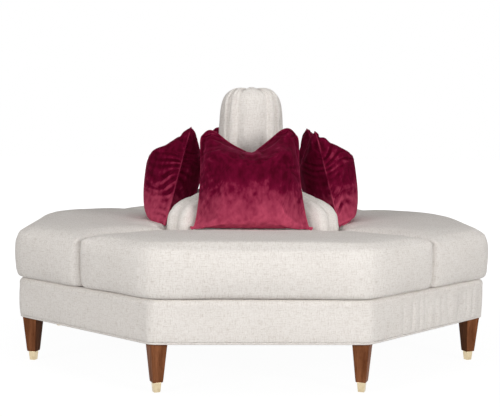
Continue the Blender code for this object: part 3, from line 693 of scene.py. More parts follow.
def slack_of_staples(cloth, points):
    """How far the strip stands out at each point."""
    above = points[..., 2] - HEM_HEIGHT
    upright = np.clip(above / PLEAT_HEIGHT, 0.0, 1.0)
    facing = np.degrees(np.arctan2(points[..., 1], points[..., 0]))
    past = facing - PLEAT_FACING
    loose = np.exp(-(past / PLEAT_SPREAD) ** 4)
    loose += FEWER_SHARE * np.exp(-((past - FEWER_TURN) / FEWER_SPREAD) ** 2)
    pulls = wave(cloth, STAPLE_PULLS_PER_METRE, 11.0) * np.exp(-above / STAPLE_REACH)
    grooves = 1 - np.minimum(1.0, np.abs(3.2 * wave(cloth, PLEATS_PER_METRE, 21.0)))
    creases = grooves ** 1.4 * loose * np.sin(upright * math.pi) ** 0.5
    hollows = wave(cloth, BAND_HOLLOWS_PER_METRE, 3.0)
    return BAND_HOLLOW * hollows + STAPLE_PULL * pulls - PLEAT_DEPTH * creases


def linen_band():
    """The padded strip, with the slack that staples leave."""
    rows = band_section()
    points = eight_sided_strip([(BASE_INRADIUS - inset, max(BAND_CORNER - inset, 0.003), height)
                                for inset, height in rows], BAND_CELLS)
    cloth = laid_flat(points, row=BAND_SIDE_ROW)
    out = points * (1.0, 1.0, 0.0)
    out /= np.linalg.norm(out, axis=-1, keepdims=True)
    fold = slack_of_staples(cloth, points)
    fold[:, -1] = fold[:, 0]
    fold[BAND_SEEN_ROWS:] = 0.0
    fold[0] = 0.0
    points += out * fold[..., None]
    return sewn_piece("linen_band", [(points, cloth)])


band = linen_band()
join_piece(band, LINEN, "base_and_back", ["base_cover"])
print("band:", len(band.data.vertices), "points")

# %% [markdown]
# ## The welt under the hem
# A thin cord wrapped in linen finishes the hem, just where the legs begin. A bevelled curve
# would give the same tube, but without a place on flat cloth for its weave. So it is a strip
# like the others, wrapped round the eight-sided ring and sewn to itself.

# %% Welt
WELT_RADIUS = 0.0035
WELT_INSET = 0.0065
WELT_HEIGHT = 0.1773
# A little off upright, so that no stretch of a cord's path runs along it
CORD_AXIS = 0.03, 0.02, 1.0


def wrapped_cord(path, radius, sides=10):
    """A strip wrapped round a closed path whose last point is its first."""
    ahead = np.roll(path[:-1], -1, axis=0) - np.roll(path[:-1], 1, axis=0)
    ahead /= np.linalg.norm(ahead, axis=1, keepdims=True)
    aside = np.cross(ahead, CORD_AXIS)
    aside /= np.linalg.norm(aside, axis=1, keepdims=True)
    up = np.cross(aside, ahead)
    angles = np.linspace(0.0, math.tau, sides + 1)[None, :, None]
    ring = radius * (np.cos(angles) * aside[:, None] + np.sin(angles) * up[:, None])
    points = path[:-1, None] + ring
    return np.concatenate([points, points[:1]])


def linen_welt():
    """The covered cord, sewn to itself along its length."""
    ring = eight_sided_ring(BASE_INRADIUS - WELT_INSET, BAND_CORNER - WELT_INSET)
    path = np.column_stack([ring, np.full(len(ring), WELT_HEIGHT)])
    points = wrapped_cord(path, WELT_RADIUS)
    piece = sewn_piece("linen_welt", [(points, laid_flat(points))])
    return join_piece(piece, LINEN, "base_and_back", ["base_welt"])


linen_welt()
print("welt:", WELT_RADIUS * 2000, "mm thick")

# %% [markdown]
# ## Under and on the deck
# Nobody sees the platform cloth on the felt pad until a cushion is lifted, or the black cloth
# under the frame until the settee is tipped. Both are still cloth: the pad has a soft edge and
# small hollows, and the dust cloth is stapled round its rim and hangs a little in the middle.

# %% Platform pad and dust cloth
PAD_SOFT_EDGE = 0.006
PAD_CORNER = 0.010
PAD_HOLLOW = 0.0007
PAD_TOP_ROWS = 34
# Rings as (inset, corner radius, rise over the foot) and as (inset, radius, drop under the top)
PAD_FOOT_RINGS = ((PAD_SOFT_EDGE, 0.004, 0.0), (0.001, 0.008, 0.002))
PAD_EDGE_RINGS = ((0.0005, PAD_CORNER, PAD_SOFT_EDGE), (0.002, PAD_CORNER, 0.0015),
                  (PAD_SOFT_EDGE, PAD_CORNER, 0.0))
DUST_SAG = 0.004
DUST_RIPPLE = 0.0009
DUST_ROWS = 36
RIM_CELLS = 14


def platform_pad():
    """The felt pad in its platform cloth."""
    low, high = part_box("deck_pad")
    rows = [(high.x - inset, radius, low.z + rise) for inset, radius, rise in PAD_FOOT_RINGS]
    rows += [(high.x - inset, radius, high.z - drop) for inset, radius, drop in PAD_EDGE_RINGS]
    edge = len(rows)
    for share in np.linspace(0.98, 0.02, PAD_TOP_ROWS):
        rows.append(((high.x - PAD_SOFT_EDGE) * share, PAD_CORNER * share, high.z))
    points = eight_sided_strip(rows)
    cloth = points[..., :2]
    points[edge:, :, 2] -= PAD_HOLLOW * (1 + wave(cloth[edge:], 9.0, 2.0))
    points[:, -1] = points[:, 0]
    pad = sewn_piece("platform_pad", [(points, cloth)])
    return join_piece(pad, PLATFORM_CLOTH, "base_and_back", ["deck_pad"])


def dust_cloth():
    """The black cloth stapled under the rails, cut off at each leg."""
    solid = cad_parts["dust_cover"]
    low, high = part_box("dust_cover")
    rim = {(round(v.co.x, 5), round(v.co.y, 5)) for v in solid.data.vertices}
    rim = np.array(sorted(rim, key=lambda spot: math.atan2(spot[1], spot[0])))
    rim = np.concatenate([rim, rim[:1]])
    fine = [rim[i] + (rim[i + 1] - rim[i]) * step / RIM_CELLS for i in range(len(rim) - 1)
            for step in range(RIM_CELLS)]
    fine = np.array(fine + fine[:1])
    shares = np.linspace(1.0, 0.03, DUST_ROWS)
    points = np.zeros((len(shares), len(fine), 3))
    points[..., :2] = fine[None] * shares[:, None, None]
    ripple = DUST_RIPPLE * wave(points[..., :2], 6.0, 7.0)
    hang = (DUST_SAG + ripple) * np.sin((1 - shares[:, None] ** 2) * math.pi / 2)
    points[..., 2] = high.z - hang
    points[:, -1] = points[:, 0]
    sheet = sewn_piece("dust_cloth", [(points, points[..., :2])])
    join_piece(sheet, DUST_CLOTH, "base_and_back", ["dust_cover"])
    return sheet


platform_pad()
dust_cloth()
print("pad and dust cloth laid")

# %% [markdown]
# ## Stuffing a piece
# Cloth round stuffing isn't the shape it was drawn in: it rounds out between its seams and
# wrinkles beside them. Noise can fake that, but the folds come out the same everywhere. Blender's
# cloth with air pressure finds them from the shape itself. Gravity is off, because the stuffing
# carries the cloth, and each point's travel is held under a limit, so that the piece keeps its
# place among its neighbours.

# %% Pressure
def coordinates(mesh):
    """All the vertex places of a mesh."""
    spots = np.zeros(len(mesh.vertices) * 3, np.float32)
    mesh.vertices.foreach_get("co", spots)
    return spots.reshape(-1, 3)


def puffed(piece, pressure, slack, bending, frames, sewn=None):
    """Where the points of a piece go under pressure, with the sewn points held."""
    stuffing = piece.modifiers.new("stuffing", "CLOTH")
    cloth = stuffing.settings
    cloth.quality = 5
    cloth.mass = 0.3
    cloth.tension_stiffness = 15.0
    cloth.compression_stiffness = 15.0
    cloth.shear_stiffness = 5.0
    cloth.bending_stiffness = bending
    cloth.use_pressure = True
    cloth.uniform_pressure_force = pressure
    cloth.shrink_min = -slack
    cloth.effector_weights.gravity = 0.0
    if sewn is not None:
        group = piece.vertex_groups.new(name="sewn")
        for point in np.flatnonzero(sewn > 0):
            group.add([int(point)], float(sewn[point]), "REPLACE")
        cloth.vertex_group_mass = "sewn"
    stuffing.point_cache.frame_start = 1
    stuffing.point_cache.frame_end = frames
    for step in range(1, frames + 1):
        scene.frame_set(step)
    filled = piece.evaluated_get(bpy.context.evaluated_depsgraph_get())
    spots = coordinates(filled.data).copy()
    piece.modifiers.remove(stuffing)
    scene.frame_set(1)
    return spots


def push_out(piece, by):
    """Move each point of a piece along its normal."""
    normals = np.zeros(len(piece.data.vertices) * 3, np.float32)
    piece.data.vertex_normals.foreach_get("vector", normals)
    moved = coordinates(piece.data) + normals.reshape(-1, 3) * by[:, None]
    piece.data.vertices.foreach_set("co", moved.astype(np.float32).ravel())
    piece.data.update()


def evened(piece, travel, rounds):
    """A travel for each point, averaged with its neighbours' so that no ripple is left."""
    edges = np.zeros(len(piece.data.edges) * 2, np.int32)
    piece.data.edges.foreach_get("vertices", edges)
    first, second = edges.reshape(-1, 2).T
    count = np.bincount(edges, minlength=len(travel))[:, None]
    for step in range(rounds):
        total = np.zeros_like(travel)
        np.add.at(total, first, travel[second])
        np.add.at(total, second, travel[first])
        travel = (travel + total / count) / 2
    return travel


def stuff(piece, limit, settle=0, **how):
    """Puff a piece and keep its new shape. limit is one length or one for each point."""
    start = coordinates(piece.data)
    travel = evened(piece, puffed(piece, **how) - start, settle)
    length = np.maximum(np.linalg.norm(travel, axis=1), 1e-9)
    limit = np.maximum(np.broadcast_to(limit, length.shape), 1e-9)
    moved = start + travel * (limit * np.tanh(length / limit) / length)[:, None]
    piece.data.vertices.foreach_set("co", moved.astype(np.float32).ravel())
    piece.data.update()
    return float(np.percentile(np.minimum(length, limit), 95))


# %% [markdown]
# ## Seat cushions
# Four loose cushions share the octagon, split on the diagonals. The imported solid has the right
# outline but is faceted. Its skin is rebuilt with even cells, smoothed until the facets are gone
# and then stuffed. Each side is a separate panel of cloth: above the top seam and below the lower
# one a point lies on a flat panel, and between them the way it faces says which side panel it is
# on. Stuffing by pressure alone leaves ripples, so the travel is averaged between neighbours.
# Real cushions also settle, so the front one is worn lower and the side ones stand fuller.

# %% Rebuild a soft solid
SEATS = ("right", "back", "left", "front")
CUSHION_VOXEL = 0.0105
LOWER_SEAM = 0.004
UPPER_SEAM = 0.182


def even_skin(name, node, voxel, rounds):
    """A copy of a solid with even cells and its facets smoothed away."""
    piece = add_piece(name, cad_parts[node].data.copy())
    low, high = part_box(node)
    skin = piece.modifiers.new("skin", "REMESH")
    skin.mode = "VOXEL"
    skin.voxel_size = voxel
    for step in range(rounds):
        for factor in (0.55, -0.57):
            soften = piece.modifiers.new("soften", "SMOOTH")
            soften.factor = factor
            soften.iterations = 1
    bpy.context.view_layer.update()
    shape = piece.evaluated_get(bpy.context.evaluated_depsgraph_get())
    mesh = bpy.data.meshes.new_from_object(shape)
    piece.modifiers.clear()
    piece.data = mesh
    mesh.name = name
    mesh.shade_smooth()
    return piece, low, high


def lay_panels(mesh, spots, seam_low, seam_high):
    """Cloth places for a boxed shape: flat panels above and below, one for each side between."""
    count = len(mesh.polygons)
    corners = np.zeros(len(mesh.loops), np.int32)
    mesh.loops.foreach_get("vertex_index", corners)
    totals = np.zeros(count, np.int32)
    mesh.polygons.foreach_get("loop_total", totals)
    normals = np.zeros(count * 3, np.float32)
    mesh.polygons.foreach_get("normal", normals)
    normals = np.repeat(normals.reshape(-1, 3), totals, axis=0)
    spot = spots[corners]
    facing = np.round(np.arctan2(normals[:, 1], normals[:, 0]) / TURN) * TURN
    along = -np.sin(facing) * spot[:, 0] + np.cos(facing) * spot[:, 1]
    level = np.zeros(count * 3, np.float32)
    mesh.polygons.foreach_get("center", level)
    level = np.repeat(level.reshape(-1, 3)[:, 2], totals)
    flat = (level > seam_high) | (level < seam_low)
    u = np.where(flat, spot[:, 0], along)
    v = np.where(flat, spot[:, 1], spot[:, 2])
    layer = mesh.uv_layers.new(name="cloth")
    layer.uv.foreach_set("vector", np.column_stack([u, v]).astype(np.float32).ravel())


print("seats:", *SEATS)


# %% Cushions
CUSHION_LIMIT = 0.008
CUSHION_SMOOTHING = 8
CUSHION_SETTLING = 40
TIED_REACH = 0.05
TIED_SHARE = 0.25
BACK_REACH = 0.36
FREE_REACH = 0.20
HOLLOW_DEPTH = 0.0015
HOLLOWS_PER_METRE = 5.0
PULL_DEPTH = 0.0016
PULL_REACH = 0.07
SEAM_PULLS_PER_METRE = 44.0, 44.0, 7.0
RIM_FROM = 0.50
RIM_RUN = 0.35
CUSHION_STUFFING = {"pressure": 1.5, "slack": 0.006, "bending": 2.5, "frames": 12}
SEAT_INRADIUS = 0.928
SETTLED_SHARE = 0.966
CROWN_REACH = 0.20
CROWN_SHARES = {"right": 0.005, "back": 0.0, "left": 0.010, "front": -0.036}
RIM_REACH = 0.28
RIM_SHARES = {"right": 0.060, "back": 0.030, "left": 0.070, "front": 0.0}
LENGTH_SHARES = {"right": 0.010, "back": 0.0, "left": 0.007, "front": 0.0}
LENGTH_FROM = 0.5
LENGTH_RUN = 0.4
FOOT_BAND = 0.02
CORNER_DROP = 0.020
CORNER_REACH = 0.042
CORNER_SHARE = 0.55


def cushion_places(spots, facing):
    """Each point's distance out from the middle, and its distance from the split beside it."""
    out = np.array((math.cos(facing), math.sin(facing)))
    aside = np.array((-out[1], out[0]))
    reach = spots[:, :2] @ out
    return reach, (reach - np.abs(spots[:, :2] @ aside)) / math.sqrt(2)


def rim_gaps(spots):
    """How far each point is from the nearest of the eight outer sides, seen from above."""
    angles = np.arange(SIDES) * TURN
    outs = np.stack([np.cos(angles), np.sin(angles)])
    return SEAT_INRADIUS - (spots[:, :2] @ outs).max(1)


def sharpened(spots, facing, inradius, top):
    """Cushion points drawn into the two upper corners, where the boxed panels meet."""
    moved = spots.copy()
    for side in (-1, 1):
        angle = facing + side * math.pi / 4
        corner = np.array((inradius * math.cos(angle), inradius * math.sin(angle), top))
        away = corner - spots
        near = np.exp(-((away ** 2).sum(1) / CORNER_REACH ** 2))
        moved += CORNER_SHARE * near[:, None] * away
    return moved


def smooth_step(share):
    """A share held between 0 and 1, eased at both ends."""
    share = np.clip(share, 0.0, 1.0)
    return share * share * (3 - 2 * share)


def settled(spots, reach, to_split, seat, bottom):
    """Cushion points as they stand in use: lower or fuller on top, and drawn to length."""
    inner = smooth_step(rim_gaps(spots) / CROWN_REACH)
    outer = smooth_step((reach - RIM_FROM) / RIM_RUN)
    along_side = reach - math.sqrt(2) * to_split
    rim = RIM_SHARES[seat] * np.exp(-(along_side / RIM_REACH) ** 2) * outer
    rise = (spots[:, 2] - bottom) * SETTLED_SHARE
    spots[:, 2] = bottom + rise * (1 + rim + CROWN_SHARES[seat] * inner)
    outward = np.clip((reach - LENGTH_FROM) / LENGTH_RUN, 0.0, 1.0)
    spots[:, :2] *= (1 + LENGTH_SHARES[seat] * outward)[:, None]
    return spots


def linen_cushion(number, seat):
    """One seat cushion."""
    facing = number * math.pi / 2
    name = "seat_cushion_" + seat
    piece, low, high = even_skin("linen_" + name, name, CUSHION_VOXEL, CUSHION_SMOOTHING)
    start = coordinates(piece.data).astype(float)
    lay_panels(piece.data, start, low.z + LOWER_SEAM, low.z + UPPER_SEAM)
    reach, to_split = cushion_places(start, facing)
    room = np.clip(to_split / TIED_REACH, 0.0, 1.0)
    free = np.clip((reach - BACK_REACH) / FREE_REACH, 0.0, 1.0)
    room *= TIED_SHARE + (1 - TIED_SHARE) * free
    hollow = HOLLOW_DEPTH * wave(start, HOLLOWS_PER_METRE, 31.0 + 7.0 * number)
    pulls = PULL_DEPTH * wave(start, SEAM_PULLS_PER_METRE, 3.0 + number)
    push_out(piece, room * (hollow + pulls * np.exp(-to_split / PULL_REACH)))
    start = coordinates(piece.data).astype(float)
    grown = stuff(piece, CUSHION_LIMIT * room, settle=CUSHION_SETTLING, **CUSHION_STUFFING)
    stuffed = coordinates(piece.data).astype(float)
    base = start[:, 2] < low.z + FOOT_BAND
    stuffed[base, 2] = np.maximum(stuffed[base, 2], start[base, 2])
    stuffed = sharpened(stuffed, facing, SEAT_INRADIUS, high.z - CORNER_DROP)
    stuffed = settled(stuffed, reach, to_split, seat, low.z)
    piece.data.vertices.foreach_set("co", stuffed.astype(np.float32).ravel())
    finer = piece.modifiers.new("finer", "SUBSURF")
    finer.levels = finer.render_levels = 1
    join_piece(piece, LINEN, "seat_" + seat, [name])
    print(piece.name, len(start), "points, stuffed by", round(grown * 1000, 1), "mm")
    return piece


for number, seat in enumerate(SEATS):
    linen_cushion(number, seat)

# %% [markdown]
# ## The channelled back
# The column, its dome and the four wings are one cover: between each pair of wings a plain panel,
# on each wing two stuffed channels that meet in a seam down the crest. Sculpting the channels
# would lose their even width. Here the crest is one smooth line from the dome to the seat, each
# channel is a strip along it that rises between its seams, and the strips are sewn together.

# %% The crest of a wing
BACK_BOTTOM = 0.3282
BACK_HEIGHT = 0.7605
WING_REACH = 0.446
CHANNEL_WIDTH = 0.066
CHANNEL_DEPTH = 0.017
COLUMN_RADIUS = 0.145
PANEL_RADIUS = 0.264
# From the button to the seat: crest radius and height, panel radius and height, half width
BACK_ROW_SHARES = (
    (0.040, 0.995, 0.068, 0.994, 0.07), (0.123, 0.997, 0.189, 0.997, 0.22),
    (0.213, 0.988, 0.322, 0.983, 0.38), (0.274, 0.961, 0.410, 0.955, 0.47),
    (0.307, 0.919, 0.459, 0.916, 0.53), (0.321, 0.860, 0.486, 0.860, 0.56),
    (0.325, 0.787, 0.498, 0.787, 0.57), (0.332, 0.708, 0.512, 0.706, 0.58),
    (0.348, 0.629, 0.538, 0.622, 0.60), (0.377, 0.557, 0.580, 0.546, 0.63),
    (0.426, 0.498, 0.640, 0.484, 0.68), (0.498, 0.456, 0.705, 0.440, 0.75),
    (0.594, 0.430, 0.760, 0.408, 0.83), (0.706, 0.410, 0.802, 0.380, 0.90),
    (0.807, 0.393, 0.838, 0.354, 0.94), (0.897, 0.368, 0.868, 0.328, 0.97),
    (0.960, 0.331, 0.900, 0.295, 1.00), (0.989, 0.281, 0.930, 0.248, 1.00),
    (0.998, 0.190, 0.970, 0.165, 1.00), (1.000, 0.000, 1.000, 0.000, 1.00),
)
ROW_CELLS = 5
LOBE_CELLS = 9
PANEL_CELLS = 15
CREST_SHARE = 0.45
PANEL_BEND_SHARE = 0.55
PANEL_BEND_WEIGHT = 2.0


def back_lines():
    """Crest, panel and half width down the back, each at every fine row."""
    at = np.linspace(0.0, len(BACK_ROW_SHARES) - 1.0, ROW_CELLS * (len(BACK_ROW_SHARES) - 1) + 1)
    radius, height, panel, level, half = eased(at, BACK_ROW_SHARES).T
    height[-1] = level[-1] = 0.0
    return (radius * WING_REACH, BACK_BOTTOM + height * BACK_HEIGHT, panel * PANEL_RADIUS,
            BACK_BOTTOM + level * BACK_HEIGHT, half * CHANNEL_WIDTH)


def turned(out, aside, height, angle):
    """Points given as (out, aside, height) from the middle, turned to an angle."""
    return np.stack([out * math.cos(angle) - aside * math.sin(angle),
                     out * math.sin(angle) + aside * math.cos(angle), height], axis=-1)


print("rows down the back:", len(back_lines()[0]))


# %% Channels and panels
def wing_grid():
    """Out, aside and height of one wing, from its left seam over the crest to its right."""
    radius, height, *panel, half = back_lines()
    slope = np.gradient(np.column_stack([radius, height]), axis=0)
    slope /= np.linalg.norm(slope, axis=1, keepdims=True)
    depth = CHANNEL_DEPTH * np.minimum(1.0, radius / COLUMN_RADIUS)
    share = np.linspace(-1.0, 1.0, 2 * LOBE_CELLS + 1)
    inner = np.clip(1 - np.abs(share) / CREST_SHARE, 0.0, 1.0)
    outer = np.clip((np.abs(share) - CREST_SHARE) / (1 - CREST_SHARE), 0.0, 1.0)
    sunk = depth[:, None] * (0.5 * inner ** 2.2 + outer ** 2.4)
    return (radius[:, None] + sunk * slope[:, 1:], half[:, None] * share,
            height[:, None] - sunk * slope[:, :1])


def panel_grid(wing):
    """Out, aside and height of the panel between two wings."""
    panel, level = back_lines()[2:4]
    out, aside, up = (part[:, -1] for part in wing)
    diagonal = math.sqrt(0.5)
    start_out, start_aside = (out + aside) * diagonal, (aside - out) * diagonal
    share = np.linspace(-1.0, 1.0, 2 * PANEL_CELLS + 1)
    q = (1 - np.abs(share))[None]
    weights = (1 - q) ** 2, 2 * q * (1 - q) * PANEL_BEND_WEIGHT, q ** 2
    total = sum(weights)
    reach = (weights[0] * start_out[:, None] + (weights[1] + weights[2]) * panel[:, None]) / total
    side = (weights[0] + weights[1] * PANEL_BEND_SHARE) * start_aside[:, None] / total
    rise = up[:, None] + (level - up)[:, None] * q * q * (3 - 2 * q)
    return reach, side * np.where(share < 0, 1.0, -1.0), rise


def sewn_back():
    """The whole cover before it is stuffed, and the strips that it is sewn from."""
    wing = wing_grid()
    panel = panel_grid(wing)
    strips = []
    for k in range(len(SEATS)):
        points = turned(*wing, (k + 0.5) * math.pi / 2)
        halves = points[:, :LOBE_CELLS + 1], points[:, LOBE_CELLS:]
        for strip in (*halves, turned(*panel, (k + 1) * math.pi / 2)):
            strips.append((strip, laid_flat(strip)))
    return sewn_piece("linen_back", strips), [strip for strip, cloth in strips]


def seam_gaps(piece, seams):
    """How far each point of a piece is from its seams, given as runs of points."""
    tree = KDTree(sum(len(seam) for seam in seams))
    for spot in np.concatenate(seams):
        tree.insert(spot, 0)
    tree.balance()
    return np.array([tree.find(vertex.co)[2] for vertex in piece.data.vertices])


print("points across one wing:", wing_grid()[0].shape[1])


# %% The stuffed back
SEAM_HELD = 0.001
FOOT_HELD = 0.004
PUCKER_START = 0.003
PUCKER_REACH = 0.012
PUCKER_DEPTH = 0.0016
PUCKERS_PER_METRE = 62.0
WRINKLES_PER_METRE = 11.0
SEAM_PULL = 0.0065
SEAM_REACH = 0.0060
SEAM_RUN_OUT = 0.03
BACK_LIMIT = 0.003
BACK_STUFFING = {"pressure": 1.5, "slack": 0.02, "bending": 1.0, "frames": 12}


def linen_back():
    """The cover with its seams drawn in and held while it is stuffed."""
    back, strips = sewn_back()
    spots = coordinates(back.data)
    gaps = seam_gaps(back, [strip[:, edge] for strip in strips for edge in (0, -1)])
    rise = spots[:, 2] - BACK_BOTTOM
    held = (gaps < SEAM_HELD) | (spots[:, 2] < BACK_BOTTOM + FOOT_HELD)
    pucker = np.clip(gaps / PUCKER_START, 0.0, 1.0) * np.exp(-gaps / PUCKER_REACH)
    wrinkles = pucker * wave(spots, PUCKERS_PER_METRE, 9.0)
    wrinkles += wave(spots, WRINKLES_PER_METRE, 14.0) * ~held
    sunk = np.exp(-(gaps / SEAM_REACH) ** 2) * np.clip(rise / SEAM_RUN_OUT, 0.0, 1.0)
    push_out(back, PUCKER_DEPTH * wrinkles - SEAM_PULL * sunk)
    grown = stuff(back, BACK_LIMIT, sewn=held.astype(float), **BACK_STUFFING)
    finer = back.modifiers.new("finer", "SUBSURF")
    finer.levels = finer.render_levels = 1
    print("back:", len(back.data.vertices), "points, stuffed by", round(grown * 1000, 1), "mm")
    return join_piece(back, LINEN, "base_and_back", ["back_cover"])


linen_back()

# %% [markdown]
# ## The button
# Where the channels meet on the dome, a linen-covered button is pulled down into the padding. It
# is a shallow dome whose cloth is gathered under its rim, so faint pleats run in from the edge.

# %% Button
BUTTON_PLEATS = 20
BUTTON_PLEAT_SHARE = 0.012
BUTTON_ROWS = 14


def linen_button():
    """The covered button."""
    low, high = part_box("back_button")
    radius, rise = (high.x - low.x) / 2, high.z - low.z
    angles = np.linspace(0.0, math.tau, 6 * BUTTON_PLEATS + 1)
    rows = []
    for slope in np.linspace(-0.35, math.pi / 2 - 0.03, BUTTON_ROWS):
        pleat = 1 + BUTTON_PLEAT_SHARE * np.cos(BUTTON_PLEATS * angles) * math.cos(slope) ** 6
        across = radius * math.cos(slope) ** 0.8 * pleat / (1 + BUTTON_PLEAT_SHARE)
        level = low.z + max(0.0, rise * math.sin(slope))
        rows.append(np.column_stack([across * np.cos(angles), across * np.sin(angles),
                                     np.full(len(angles), level)]))
    points = np.array(rows)
    button = sewn_piece("linen_button", [(points, points[..., :2])])
    return join_piece(button, LINEN, "base_and_back", ["back_button"])


linen_button()
print("button pulled in")

# %% [markdown]
# ## Throw pillows
# A pillow is two squares of velvet sewn round their edge, with a cord in the seam, over a down
# filling that has been chopped in at the top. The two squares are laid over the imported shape,
# their seam is held, and a little more cloth than the shape needs is let in. Pressure alone
# leaves the folds beside the seam too soft for the photograph. So creases square to the side
# seams are pressed in lightly before the stuffing and again after it.

# %% Pillow shape
PILLOW_WIDTH = 0.480
PILLOW_HEIGHT = 0.390
PILLOW_FRONT = 0.132
PILLOW_BACK = 0.084
PILLOW_CHOP = 0.118
PILLOW_LEAN = math.radians(14.5)
PILLOW_CELLS = 90, 100
EAR_TUCKS = {"right": 0.024, "back": 0.012, "left": 0.012, "front": 0.008}
EAR_REACH = 0.030
REAR_SLUMP = 0.5
FOOT_SHARE = 0.15
# From the seam below to the seam above: height, half width, shift and how full
PILLOW_ROW_SHARES = (
    (0.00, 1.005, -0.018, 0.00), (-0.030, 0.980, -0.018, 0.26), (-0.01, 0.945, -0.019, 0.50),
    (0.08, 0.900, -0.020, 0.75), (0.27, 0.855, -0.024, 0.92), (0.50, 0.822, -0.028, 1.00),
    (0.66, 0.812, -0.031, 1.03), (0.725, 0.812, -0.032, 1.04), (0.79, 0.815, -0.033, 0.72),
    (0.90, 0.820, -0.034, 0.36), (0.99, 0.815, -0.035, 0.20), (1.032, 0.800, -0.035, 0.00),
)
# From the left seam to the right: place across, how full and how deep the chop
PILLOW_COLUMN_SHARES = (
    (-1.0, 0.0, 0.22), (-0.87, 0.55, 0.03), (-0.70, 0.88, 0.12), (-0.42, 0.99, 0.51),
    (-0.12, 1.03, 0.71), (0.045, 1.04, 0.86), (0.12, 1.03, 0.73), (0.42, 0.99, 0.39),
    (0.66, 0.90, 0.04), (0.85, 0.58, -0.05), (1.0, 0.0, 0.20),
)


def rounded(at, values):
    """Rows of values softened into one smooth run from the first row to the last."""
    before, after = 2 * values[:1] - values[1:2], 2 * values[-1:] - values[-2:-1]
    values = np.concatenate([before, values, after])
    row = np.clip(np.floor(at).astype(int), 0, len(values) - 4)
    t = (at - row).reshape((-1,) + (1,) * (values.ndim - 1))
    weights = (1 - t) ** 3, 3 * t ** 3 - 6 * t ** 2 + 4, 1 + 3 * t * (1 + t - t * t), t ** 3
    return sum(weight * values[row + step] for step, weight in enumerate(weights)) / 6


def pillow_side(depth, tuck, slump=1.0):
    """One square of velvet over the filling. A slump under 1 keeps that side full to its edges."""
    rows, columns = np.array(PILLOW_ROW_SHARES)[:, None], np.array(PILLOW_COLUMN_SHARES)[None]
    full = depth * rows[..., 3] ** slump * columns[..., 1]
    level = full * math.tan(PILLOW_LEAN) * np.clip(1 - rows[..., 0] / FOOT_SHARE, 0.0, 1.0)
    cage = np.stack([(columns[..., 0] * rows[..., 1] + 2 * rows[..., 2]) * PILLOW_WIDTH / 2, full,
                     rows[..., 0] * PILLOW_HEIGHT + level
                     - PILLOW_CHOP * columns[..., 2] * rows[..., 0] ** 3], axis=-1)
    across, up = (np.linspace(0.0, count, fine + 1)
                  for count, fine in zip((columns.shape[1] - 1, rows.shape[0] - 1), PILLOW_CELLS))
    cloth = rounded(across, rounded(up, cage).transpose(1, 0, 2)).transpose(1, 0, 2)
    for ear in cloth[-1, 0].copy(), cloth[-1, -1].copy():
        near = np.exp(-(np.linalg.norm(cloth - ear, axis=-1) / EAR_REACH) ** 2)
        cloth[..., 2] -= tuck * near
    return cloth


print("points on one square of velvet:", pillow_side(-PILLOW_FRONT, 0.0).shape[:2])


# %% Folds
FOLD_SPACING = 0.036
FOLD_REACH = 0.110
FOLD_DEPTHS = {"right": 0.010, "back": 0.008, "left": 0.009, "front": 0.0020}
FOLD_START = 0.012
FOLD_SLANT = 0.6
FOLD_WANDER = 1.7
FOLD_CLOUDS_PER_METRE = 9.0
STRENGTH_PER_METRE = 5.0, 5.0, 20.0
CREASE_MIDDLE_SHARE = 0.7
REAR_FOLD_SHARE = 0.3


def folds(spots, gaps, edge_gaps, depth, seed):
    """Folds square to the side seams, deepest a little way in from them."""
    slant = FOLD_SLANT * gaps / FOLD_REACH * np.sign(spots[:, 0])
    wander = FOLD_WANDER * wave(spots, FOLD_CLOUDS_PER_METRE, seed)
    along = spots[:, 2] / FOLD_SPACING + slant + wander
    crease = np.abs(np.cos(math.pi * along)) ** 0.8 - CREASE_MIDDLE_SHARE
    strong = np.clip(0.55 + 2.2 * wave(spots, STRENGTH_PER_METRE, seed + 50.0), 0.0, 1.2)
    strong *= np.where(spots[:, 1] > 0, REAR_FOLD_SHARE, 1.0)
    fade = np.clip(edge_gaps / FOLD_START, 0.0, 1.0) * np.exp(-(gaps / FOLD_REACH) ** 2)
    return depth * fade * strong * crease


print("folds up one side seam, at most", round(PILLOW_HEIGHT / FOLD_SPACING))


# %% Pillows
PIPING_RADIUS = 0.0026
PIPING_SIDES = 8
PILLOW_LIMIT = 0.008
PILLOW_SINK = 0.003
PRESSED_FIRST_SHARE = 0.4
PILLOW_STUFFING = {"pressure": 1.2, "slack": 0.03, "bending": 0.3, "frames": 12}


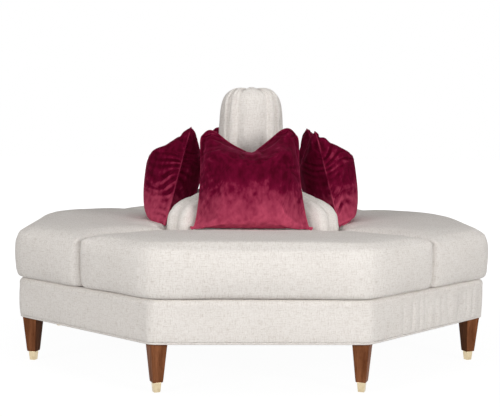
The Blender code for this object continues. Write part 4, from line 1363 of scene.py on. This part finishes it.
def lean_on_back(parts, spots, number, seat):
    """Turn a pillow's parts to their seat, lean them on the back and set them on the cushion."""
    low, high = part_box("throw_pillow_" + seat)
    for part in parts:
        part.rotation_euler = (-PILLOW_LEAN, 0.0, (number + 1) * math.pi / 2)
    bpy.context.view_layer.update()
    placed = spots @ np.array(parts[0].matrix_world.to_3x3()).T
    shift = (np.array(low) + np.array(high)) / 2 - (placed.min(0) + placed.max(0)) / 2
    facing = number * math.pi / 2
    out = np.array((math.cos(facing), math.sin(facing), 0.0))
    shift = out * (shift @ out) + (0.0, 0.0, low.z - PILLOW_SINK - placed[:, 2].min())
    for part in parts:
        part.location = shift
    return placed.max(0) - placed.min(0) - (np.array(high) - np.array(low))


def velvet_pillow(number, seat):
    """One pillow and the cord in its seam."""
    tuck = EAR_TUCKS[seat]
    front, rear = pillow_side(-PILLOW_FRONT, tuck), pillow_side(PILLOW_BACK, tuck, REAR_SLUMP)
    seam = np.concatenate([front[0, :-1], front[:-1, -1], front[-1, :0:-1], front[:0:-1, 0],
                           front[:1, 0]])
    name = "velvet_pillow_" + seat
    piece = sewn_piece(name, [(front, laid_flat(front)), (rear, laid_flat(rear))])
    edge_gaps = seam_gaps(piece, [seam])
    side_gaps = seam_gaps(piece, [front[:, 0], front[:, -1]])
    creases = folds(coordinates(piece.data), side_gaps, edge_gaps, FOLD_DEPTHS[seat], 3.0 * number)
    push_out(piece, PRESSED_FIRST_SHARE * creases)
    sewn = (edge_gaps < SEAM_HELD).astype(float)
    grown = stuff(piece, PILLOW_LIMIT, sewn=sewn, **PILLOW_STUFFING)
    push_out(piece, creases)
    cord = wrapped_cord(seam, PIPING_RADIUS, PIPING_SIDES)
    piping = sewn_piece("velvet_piping_" + seat, [(cord, laid_flat(cord))])
    size = lean_on_back((piece, piping), coordinates(piece.data), number, seat)
    body = "pillow_" + seat
    join_piece(piece, VELVET, body, ["throw_pillow_" + seat])
    join_piece(piping, VELVET, body)
    print(name, "stuffed by", round(grown * 1000, 1), "mm, over its solid by", size.round(3))


for number, seat in enumerate(SEATS):
    velvet_pillow(number, seat)
